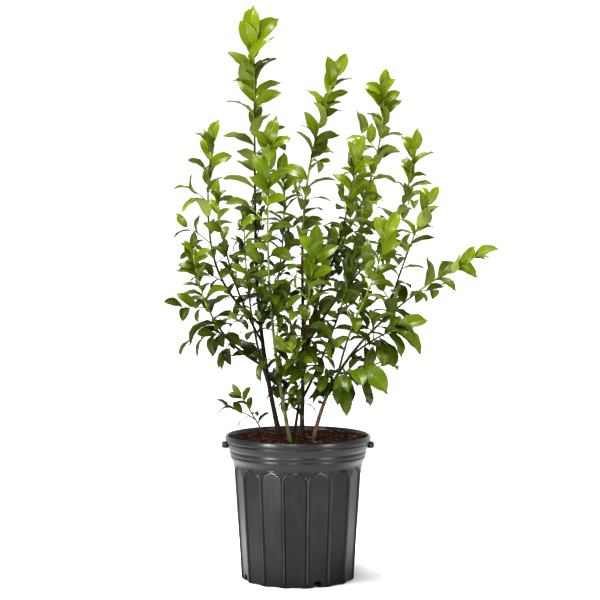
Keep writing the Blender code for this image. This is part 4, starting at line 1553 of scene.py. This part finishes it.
    def build(self) -> None:
        """Grows the bush and makes its pieces."""
        barks = [bark.material() for bark in BARKS]
        masses = self.rule.grow()
        self.limbs(barks)
        self.shoots(masses, barks)
        self.foliage(masses)


# The pot and what fills it


def rounded(values: Array, power: float) -> Array:
    """A sine or cosine drawn out towards its ends, which rounds a ball into a block."""
    return np.sign(values) * np.abs(values)**power


@dataclass
class Pot:
    """A blow moulded nursery pot: lip, stepped collar, arched panels, lugs and drain notches."""

    outer_side: tuple = (
        (0.1296, 0.2652), (0.1312, 0.2660), (0.1330, 0.2656), (0.1339, 0.2642), (0.1340, 0.2600),
        (0.1338, 0.2568), (0.1324, 0.2556), (0.1306, 0.2550), (0.1304, 0.2538), (0.1311, 0.2526),
        (0.1311, 0.2510), (0.1300, 0.2480), (0.1282, 0.2430), (0.1266, 0.2404), (0.1259, 0.2394),
        (0.1260, 0.2382), (0.1264, 0.2368), (0.1262, 0.2340), (0.1256, 0.2322), (0.1246, 0.2312),
        (0.1246, 0.2300), (0.1251, 0.2288), (0.1250, 0.2268), (0.1240, 0.2246), (0.1222, 0.2216),
        (0.1200, 0.2180), (0.1186, 0.2146), (0.1179, 0.2115), (0.1173, 0.2060), (0.1164, 0.1960),
        (0.1045, 0.0080), (0.1042, 0.0040), (0.1030, 0.0012), (0.1008, 0.0000),
    )
    inner_side: tuple = ((0.1009, 0.0040), (0.1010, 0.0100), (0.1139, 0.2140), (0.1208, 0.2250),
                         (0.1266, 0.2540), (0.1290, 0.2600), (0.1292, 0.2645))
    foot_inside: float = 0.096
    panels: int = 16
    panel_turn: float = math.radians(-2.3)
    panel_top: float = 0.2115
    half_top: float = 0.0206
    half_foot: float = 0.0184
    depth: float = 1.2 * MM
    groove: float = 0.70 * MM
    bead: float = 0.80 * MM
    panel_edge: float = -0.3 * MM
    line_offset: float = 0.9 * MM
    line_width: float = 0.7 * MM
    straight: tuple = (0.010, 0.190)
    arch_rows: tuple = (0.184, 0.2142, 1.1 * MM)
    scallop: float = 1.6 * MM
    scallop_share: float = 0.6
    scallop_rise: tuple = (0.010, 0.002)
    scallop_inside: float = 0.099
    # Where the rib crests take the lighter finish, a painted highlight
    rib_highlight_from: float = 0.958
    rib_highlight_ends: tuple = (0.010, 0.196)
    lug_size: tuple = (0.014, 0.032, 0.012)
    lug_centre: tuple = (0.1335, 0.0, 0.2475)
    lug_power: float = 0.55
    drain_turn: float = math.radians(20.2)
    drain_radius: float = 7.5 * MM
    drain_centre: tuple = (0.1005, 0.0055)
    drain_length: float = 0.0256
    crease: float = 35.0

    @property
    def pitch(self) -> float:
        """The turn from one panel to the next."""
        return 2.0 * math.pi / self.panels

    def off_middle(self, turns: Array) -> Array:
        """How far each turn is from the middle of its panel."""
        half = self.pitch / 2.0
        return (turns - self.panel_turn + math.pi / 2.0 + half) % self.pitch - half

    def columns(self) -> Array:
        """Turns round the pot, close together at the panels' edges.

        Returns:
            The turns, in the order they stand in.
        """
        half = np.array((0.0, 0.20, 0.40, 0.58, 0.70, 0.78, 0.82, 0.845, 0.865, 0.88, 0.895, 0.91, 0.925, 0.94,
                         0.96, 0.98))
        one = np.concatenate((-half[:0:-1], half, [1.0]))
        turns = (np.arange(self.panels)[:, None] * self.pitch + one[None, :] * self.pitch / 2.0).ravel()
        return turns + self.panel_turn - math.pi / 2.0

    def profile(self) -> Array:
        """The outer side from lip to foot, with even rows where the arches run and rounded corners.

        Returns:
            One row a corner: its radius and its height.
        """
        points = np.array(self.outer_side)
        for _ in range(2):
            cut = np.empty((2 * len(points) - 2, 2))
            cut[0::2] = 0.75 * points[:-1] + 0.25 * points[1:]
            cut[1::2] = 0.25 * points[:-1] + 0.75 * points[1:]
            points = np.concatenate((points[:1], cut, points[-1:]))
        heights = np.unique(np.concatenate((points[:, 1], np.arange(*self.arch_rows),
                                            np.linspace(0.008, self.arch_rows[0], 14))))[::-1]
        lip = points[:, 1].argmax()
        radii = np.interp(heights, points[lip:, 1][::-1], points[lip:, 0][::-1])
        return np.concatenate((points[:lip], np.stack((radii, heights), axis=-1)))

    def sunk(self, turns: Array, radius: Array, height: Array) -> Array:
        """The radius with the panels pressed in.

        A panel is a flat face: r = (straight(z) cos a - depth) / cos(t), blended to the wall's own radius
        over the signed distance to the arch's outline, with a fine groove inside the edge and a bead outside.

        Args:
            turns: the columns' turns.
            radius: the wall's radius at each row.
            height: the height at each row.

        Returns:
            One row a height and one column a turn.
        """
        off = self.off_middle(turns)
        side = np.array(self.outer_side)
        low, high = (np.interp(level, side[::-1, 1], side[::-1, 0]) for level in self.straight)
        slope = (high - low) / (self.straight[1] - self.straight[0])
        line = low + slope * (height - self.straight[0])
        half = between((self.half_foot, self.half_top), np.clip(height / self.panel_top, 0.0, 1.0))
        across = np.abs(line[:, None] * np.sin(off)[None, :])
        above = np.maximum(height - (self.panel_top - self.half_top), 0.0)[:, None]
        inside = np.where(above > 0.0, self.half_top - np.hypot(across, above), half[:, None] - across)
        flat = (line[:, None] * math.sqrt(1.0 - (self.half_foot / low)**2) - self.depth) / np.cos(off)[None, :]
        mask = smooth_step(self.panel_edge, self.line_offset, inside)
        wall = np.broadcast_to(radius[:, None], mask.shape)
        pressed = wall + (np.minimum(flat, wall) - wall) * mask
        groove = self.groove * np.exp(-(((inside - self.line_offset) / self.line_width)**2))
        bead = self.bead * np.exp(-(((inside + self.line_offset) / self.line_width)**2))
        return pressed + bead - groove

    def shell(self) -> Shell:
        """The pot as one surface of turn by profile: inside from the floor up, over the lip and down outside.

        Returns:
            The closed pot, whose rib crests have the second finish, a lighter colour painted on as the
            highlight they catch.
        """
        turns = self.columns()
        outer, inner = self.profile(), np.array(self.inner_side)
        radii = np.concatenate((
            np.repeat(inner[:, :1], len(turns), axis=1),
            self.sunk(turns, outer[:, 0], outer[:, 1]),
            np.full((1, len(turns)), self.foot_inside),
        ))
        height = np.concatenate((inner[:, 1], outer[:, 1], [0.0]))
        low = smooth_step(*self.scallop_rise, height)[:, None] * (radii > self.scallop_inside)
        waves = np.cos(self.panels * (turns - self.panel_turn + math.pi / 2.0))
        lift = self.scallop * low * np.clip(waves + self.scallop_share, 0.0, 1.0)
        rows = np.stack((radii * np.cos(turns), radii * np.sin(turns), height[:, None] + lift), axis=-1)
        # Faces along each panel's edge take the second finish: a painted highlight on the rib crests
        off = np.abs(self.off_middle((turns + np.roll(turns, -1)) / 2.0))
        rib = (off > self.rib_highlight_from * self.pitch / 2.0) & (np.arange(len(turns)) < len(turns) - 1)
        level = height[:-1]
        tall = (level > self.rib_highlight_ends[0]) & (level < self.rib_highlight_ends[1]) & (np.arange(len(level)) > len(inner))
        rib_highlight_faces = (tall[:, None] & rib[None, :]).astype(int).ravel()
        return closed_rows((0.0, 0.0, inner[0, 1]), rows, (0.0, 0.0, 0.0), rib_highlight_faces, flip=True)

    def lugs(self) -> Shell:
        """Two rounded blocks: |x/a|^4 + |y/b|^4 + |z/c|^4 = 1, by turn and tilt.

        Returns:
            Both as one shell.
        """
        turn, tilt = turns_of(32), np.linspace(-math.pi / 2.0, math.pi / 2.0, 19)[1:-1]
        flat, power = rounded(np.cos(tilt), self.lug_power)[:, None], self.lug_power
        x = flat * rounded(np.cos(turn), power)[None, :]
        y = flat * rounded(np.sin(turn), power)[None, :]
        z = np.broadcast_to(rounded(np.sin(tilt), power)[:, None], x.shape)
        block = closed_rows((0.0, 0.0, -1.0), np.stack((x, y, z), axis=-1), (0.0, 0.0, 1.0))
        shells = []
        for side in (-1.0, 1.0):
            centre = np.array((side * self.lug_centre[0], *self.lug_centre[1:]))
            shells.append(replace(block, corners=block.corners * (np.array(self.lug_size) / 2.0) + centre))
        return joined(shells)

    def drains(self) -> Shell:
        """Four round bars at the foot, which cut the notches.

        Returns:
            The bars as one shell.
        """
        shells = []
        for quarter in range(4):
            heading = -math.pi / 2.0 + self.drain_turn + quarter * math.pi / 2.0
            out = np.array((math.cos(heading), math.sin(heading), 0.0))
            centre = out * self.drain_centre[0] + UP * self.drain_centre[1]
            line = centre + out * np.linspace(-0.5, 0.5, 4)[:, None] * self.drain_length
            shells.append(tube_shell(line, np.full((4, 24), self.drain_radius)))
        return joined(shells)

    def build(self) -> None:
        """Makes the pot, cuts its notches and dresses it."""
        finish = MouldedPolyethylene().material()
        # The ribs' finish: paler colours than the wall's and more gloss at the foot, a painted highlight along
        # the rib crests
        painted_highlight = MouldedPolyethylene("scuffed polyethylene", "#1C1C1D", "#2C2C2C", foot_gloss=0.25).material()
        pot = self.shell().piece("nursery_pot", [finish, painted_highlight], self.crease)
        cutter = self.drains().piece("drain_cutter", [finish])
        cut = pot.modifiers.new("notches", "BOOLEAN")
        cut.operation = "DIFFERENCE"
        cut.object = cutter
        cut.solver = "MANIFOLD"
        bpy.context.view_layer.update()
        mesh = bpy.data.meshes.new_from_object(pot.evaluated_get(bpy.context.evaluated_depsgraph_get()))
        pot.modifiers.clear()
        pot.data = mesh
        bpy.data.objects.remove(cutter)
        soften(mesh, self.crease)
        lugs = self.lugs().piece("lifting_lugs", [finish])
        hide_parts("pot")


# A splinter of bark, narrower at one end
SPLINTER = np.array(((-1, -0.6, -1), (-1, 0.6, -1), (-1, 0.4, 1), (-1, -0.4, 1),
                     (1, -0.3, -0.6), (1, 0.5, -0.6), (1, 0.3, 0.6), (1, -0.2, 0.6)))
SPLINTER_FACES = np.array(((0, 1, 2, 3), (4, 7, 6, 5), (0, 4, 5, 1), (1, 5, 6, 2), (2, 6, 7, 3), (3, 7, 4, 0)))


@dataclass
class RootBall:
    """The bark mix: a lumpy top under the rim, with loose shreds lying on it."""

    radius: float = 0.1274
    top: float = 0.2622
    foot: float = 0.0043
    lower_side: tuple = ((0.1256, 0.2480), (0.1200, 0.2250), (0.1132, 0.2130), (0.0900, 0.0250),
                         (0.0900, 0.0043))
    sink: float = 0.0030
    lump: float = 2.8 * MM
    edge_lumps: tuple = (0.4, 1.0)
    lumps: tuple = ((0.030, 1.0), (0.012, 0.7), (0.005, 0.5), (0.0025, 0.35))
    edge: float = 0.006
    rings: int = 56
    turns: int = 150
    shreds: int = 1500
    shred_shares: tuple = (0.42, 0.38, 0.17, 0.03)
    longest_shred: float = 6.5 * MM
    crease: float = 180.0
    shred_crease: float = 20.0
    shred_rise: tuple = (0.0, 1.6)
    shred_dip: float = 0.28
    shred_roll: float = 0.35
    half_lengths: tuple = (4.0, 0.6, 0.8)
    half_widths: tuple = (0.4, 1.2)
    half_depths: tuple = (0.25, 0.6)
    ragged: tuple = (0.7, 1.2)
    seed: int = 5

    def height(self, x: Array, y: Array) -> Array:
        """The top's height: broad waves, then lumps of 12 mm, 5 mm and 2.5 mm.

        Args:
            x: places along X.
            y: places along Y.

        Returns:
            One height for each place.
        """
        place = np.stack((x, y, np.zeros_like(x)), axis=-1) + 1.0
        edge = smooth_step(self.radius, self.radius - self.edge, np.hypot(x, y))
        rough = sum(part * value_noise(place / size, 3 + k) for k, (size, part) in enumerate(self.lumps))
        return self.top - self.sink + self.lump * rough * between(self.edge_lumps, edge)

    def shell(self) -> Shell:
        """A closed surface of turn by radius: the lumpy top, then the side, then the flat underside.

        Returns:
            The closed root ball, in one finish.
        """
        out = circle(self.turns)
        reach = self.radius * np.linspace(0.02, 1.0, self.rings)
        x, y = reach[:, None] * out[:, 0], reach[:, None] * out[:, 1]
        top = np.stack((x, y, self.height(x, y)), axis=-1)
        side = np.array([out * radius + UP * level for radius, level in self.lower_side])
        middle = float(top[0, :, 2].mean())
        return closed_rows((0.0, 0.0, middle), np.concatenate((top, side)), (0.0, 0.0, self.foot), flip=True)

    def loose_shreds(self) -> Shell:
        """Thin six-sided splinters of bark, strewn evenly and lying nearly flat.

        Returns:
            The splinters as one shell, whose face numbers pick the kind of bark.
        """
        draw = np.random.default_rng(self.seed)
        count = self.shreds
        reach = (self.radius - self.edge) * np.sqrt(draw.uniform(0.0, 1.0, count))
        turn = draw.uniform(0.0, 2.0 * math.pi, count)
        x, y = reach * np.cos(turn), reach * np.sin(turn)
        centre = np.stack((x, y, self.height(x, y) + draw.uniform(*self.shred_rise, count) * MM), axis=-1)
        heading, dip = draw.uniform(0.0, 2.0 * math.pi, count), draw.normal(0.0, self.shred_dip, count)
        along = np.stack((np.cos(heading) * np.cos(dip), np.sin(heading) * np.cos(dip), np.sin(dip)), axis=-1)
        across = unit(np.cross(along, UP + draw.normal(0.0, self.shred_roll, (count, 3))))
        axes = np.stack((along, across, np.cross(across, along)), axis=1)
        shape, scale, least = self.half_lengths
        half = np.stack((draw.gamma(shape, scale, count) + least, draw.uniform(*self.half_widths, count),
                         draw.uniform(*self.half_depths, count)), axis=-1) * MM
        half[:, 0] = np.minimum(half[:, 0], self.longest_shred)
        form = SPLINTER[None] * draw.uniform(*self.ragged, (count, 8, 3)) * half[:, None]
        corners = centre[:, None]
        for axis in range(3):
            corners = corners + axes[:, None, axis] * form[..., axis:axis + 1]
        quads = (SPLINTER_FACES[None] + (np.arange(count) * 8)[:, None, None]).reshape(-1, 4)
        tone = draw.choice(len(SHREDS), count, p=self.shred_shares)
        return Shell(corners.reshape(-1, 3), quads, np.zeros((0, 3), int), np.repeat(tone, 6), np.zeros(0, int))

    def build(self) -> None:
        """Makes the root ball and the shreds on it."""
        ball = self.shell().piece("bark_mix", [SOIL_FINISH.material()], self.crease)
        kinds = [shred.material() for shred in SHREDS]
        shreds = self.loose_shreds().piece("loose_shreds", kinds, self.shred_crease)
        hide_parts("soil")


# The studio


@dataclass
class Studio:
    """A white floor, soft lights and the camera of the photograph."""

    floor_radius: float = 60.0
    paper_near: str = "#F4F4F3"
    paper_far: str = "#A6A6A6"
    paper_stretch: tuple = (0.25, 0.80)
    camera_place: tuple = (0.0037, -3.23, 0.683)
    camera_tilt: float = math.radians(90.0 - 2.99)
    lens: float = 105.6
    horizon_glow: float = 1.06
    band_glow: float = 2.30
    zenith_glow: float = 0.50
    band_heights: tuple = (0.12, 0.18, 0.38)
    key_strength: float = 8.8
    key_angle: float = math.radians(25.0)
    key_from: tuple = (-0.15, -0.06, 1.20)
    lamps: tuple = (
        ("left strip", (-1.41, -1.41, 0.36), (0.26, 0.62), 52.0),
        ("right strip", (1.60, -1.50, 0.36), (0.26, 0.62), 30.0),
        ("front panel", (-0.50, -3.60, 0.90), (0.50, 0.90), 62.0),
    )
    aim: tuple = (0.0, 0.0, 0.50)

    @staticmethod
    def put(name: str, data: bpy.types.ID, place: tuple = (0.0, 0.0, 0.0),
            turns: tuple = (0.0, 0.0, 0.0)) -> bpy.types.Object:
        """Puts a lamp, the camera or the floor in its place.

        Args:
            name: the object's name.
            data: the lamp, the camera or the mesh.
            place: where it stands.
            turns: its turns about X, Y and Z.

        Returns:
            The new object.
        """
        thing = bpy.data.objects.new(name, data)
        thing.location = place
        thing.rotation_euler = turns
        bpy.context.scene.collection.objects.link(thing)
        return thing

    @staticmethod
    def facing(way: Array) -> tuple[float, float, float]:
        """The turns that point a lamp's -Z axis along a way."""
        x, y, z = unit(way)
        return math.acos(-z), 0.0, math.atan2(y, x) - math.pi / 2.0

    def floor(self) -> None:
        """Matt paper, white by the pot and greyer far off, where the light falls on it at full strength."""
        mesh = bpy.data.meshes.new("floor")
        mesh.from_pydata((circle(64) * self.floor_radius).tolist(), [], [list(range(64))])
        material, tree, shader = blank("matt white paper", Roughness=0.9, Specular_IOR_Level=0.0)
        place = add(tree, "ShaderNodeTexCoord").outputs["Object"]
        away = add(tree, "ShaderNodeVectorMath", {0: place}, operation="LENGTH").outputs["Value"]
        share = ramp(tree, away, *self.paper_stretch, interpolation_type="SMOOTHSTEP")
        feed(tree, shader, Base_Color=blend(tree, share, self.paper_near, self.paper_far))
        mesh.materials.append(material)
        self.put("floor", mesh)

    def lights(self) -> None:
        """Two strips and a panel for the sheen on the leaves and the pot, and an overhead key."""
        for name, place, size, power in self.lamps:
            lamp = bpy.data.lights.new(name, "AREA")
            lamp.shape = "RECTANGLE"
            lamp.size, lamp.size_y = size
            lamp.energy = power
            self.put(name, lamp, place, self.facing(np.array(self.aim) - np.array(place)))
        sun = bpy.data.lights.new("key", "SUN")
        sun.energy = self.key_strength
        sun.angle = self.key_angle
        self.put("key", sun, turns=self.facing(-np.array(self.key_from)))

    def sky(self) -> None:
        """An even white glow by height: the paper's at the horizon, then a bright band, then a dimmer top."""
        world = bpy.data.worlds.new("studio")
        world.use_nodes = True
        tree = world.node_tree
        way = add(tree, "ShaderNodeTexCoord").outputs["Generated"]
        rise = add(tree, "ShaderNodeSeparateXYZ", {"Vector": way}).outputs["Z"]
        low, middle, high = self.band_heights
        smooth = {"interpolation_type": "SMOOTHSTEP"}
        band = ramp(tree, rise, low, middle, self.horizon_glow, self.band_glow, **smooth)
        fade = ramp(tree, rise, middle, high, 1.0, self.zenith_glow / self.band_glow, **smooth)
        background = tree.nodes["Background"]
        background.inputs["Color"].default_value = (1.0, 1.0, 1.0, 1.0)
        tree.links.new(number(tree, "MULTIPLY", band, fade), background.inputs["Strength"])
        bpy.context.scene.world = world

    def build(self) -> None:
        """Makes the floor, the lights and the camera."""
        self.floor()
        self.lights()
        self.sky()
        scene = bpy.context.scene
        scene.view_settings.view_transform = "Standard"
        scene.view_settings.look = "Medium High Contrast"
        camera = bpy.data.cameras.new("camera")
        camera.lens = self.lens
        camera.sensor_width = 36.0
        scene.camera = self.put("camera", camera, self.camera_place, (self.camera_tilt, 0.0, 0.0))


def main() -> None:
    """Builds the studio, the pot, the root ball and the bush."""
    logging.basicConfig(level=logging.INFO, format="%(message)s")
    Studio().build()
    Pot().build()
    RootBall().build()
    Bush().build()


if __name__ == "__main__":
    main()
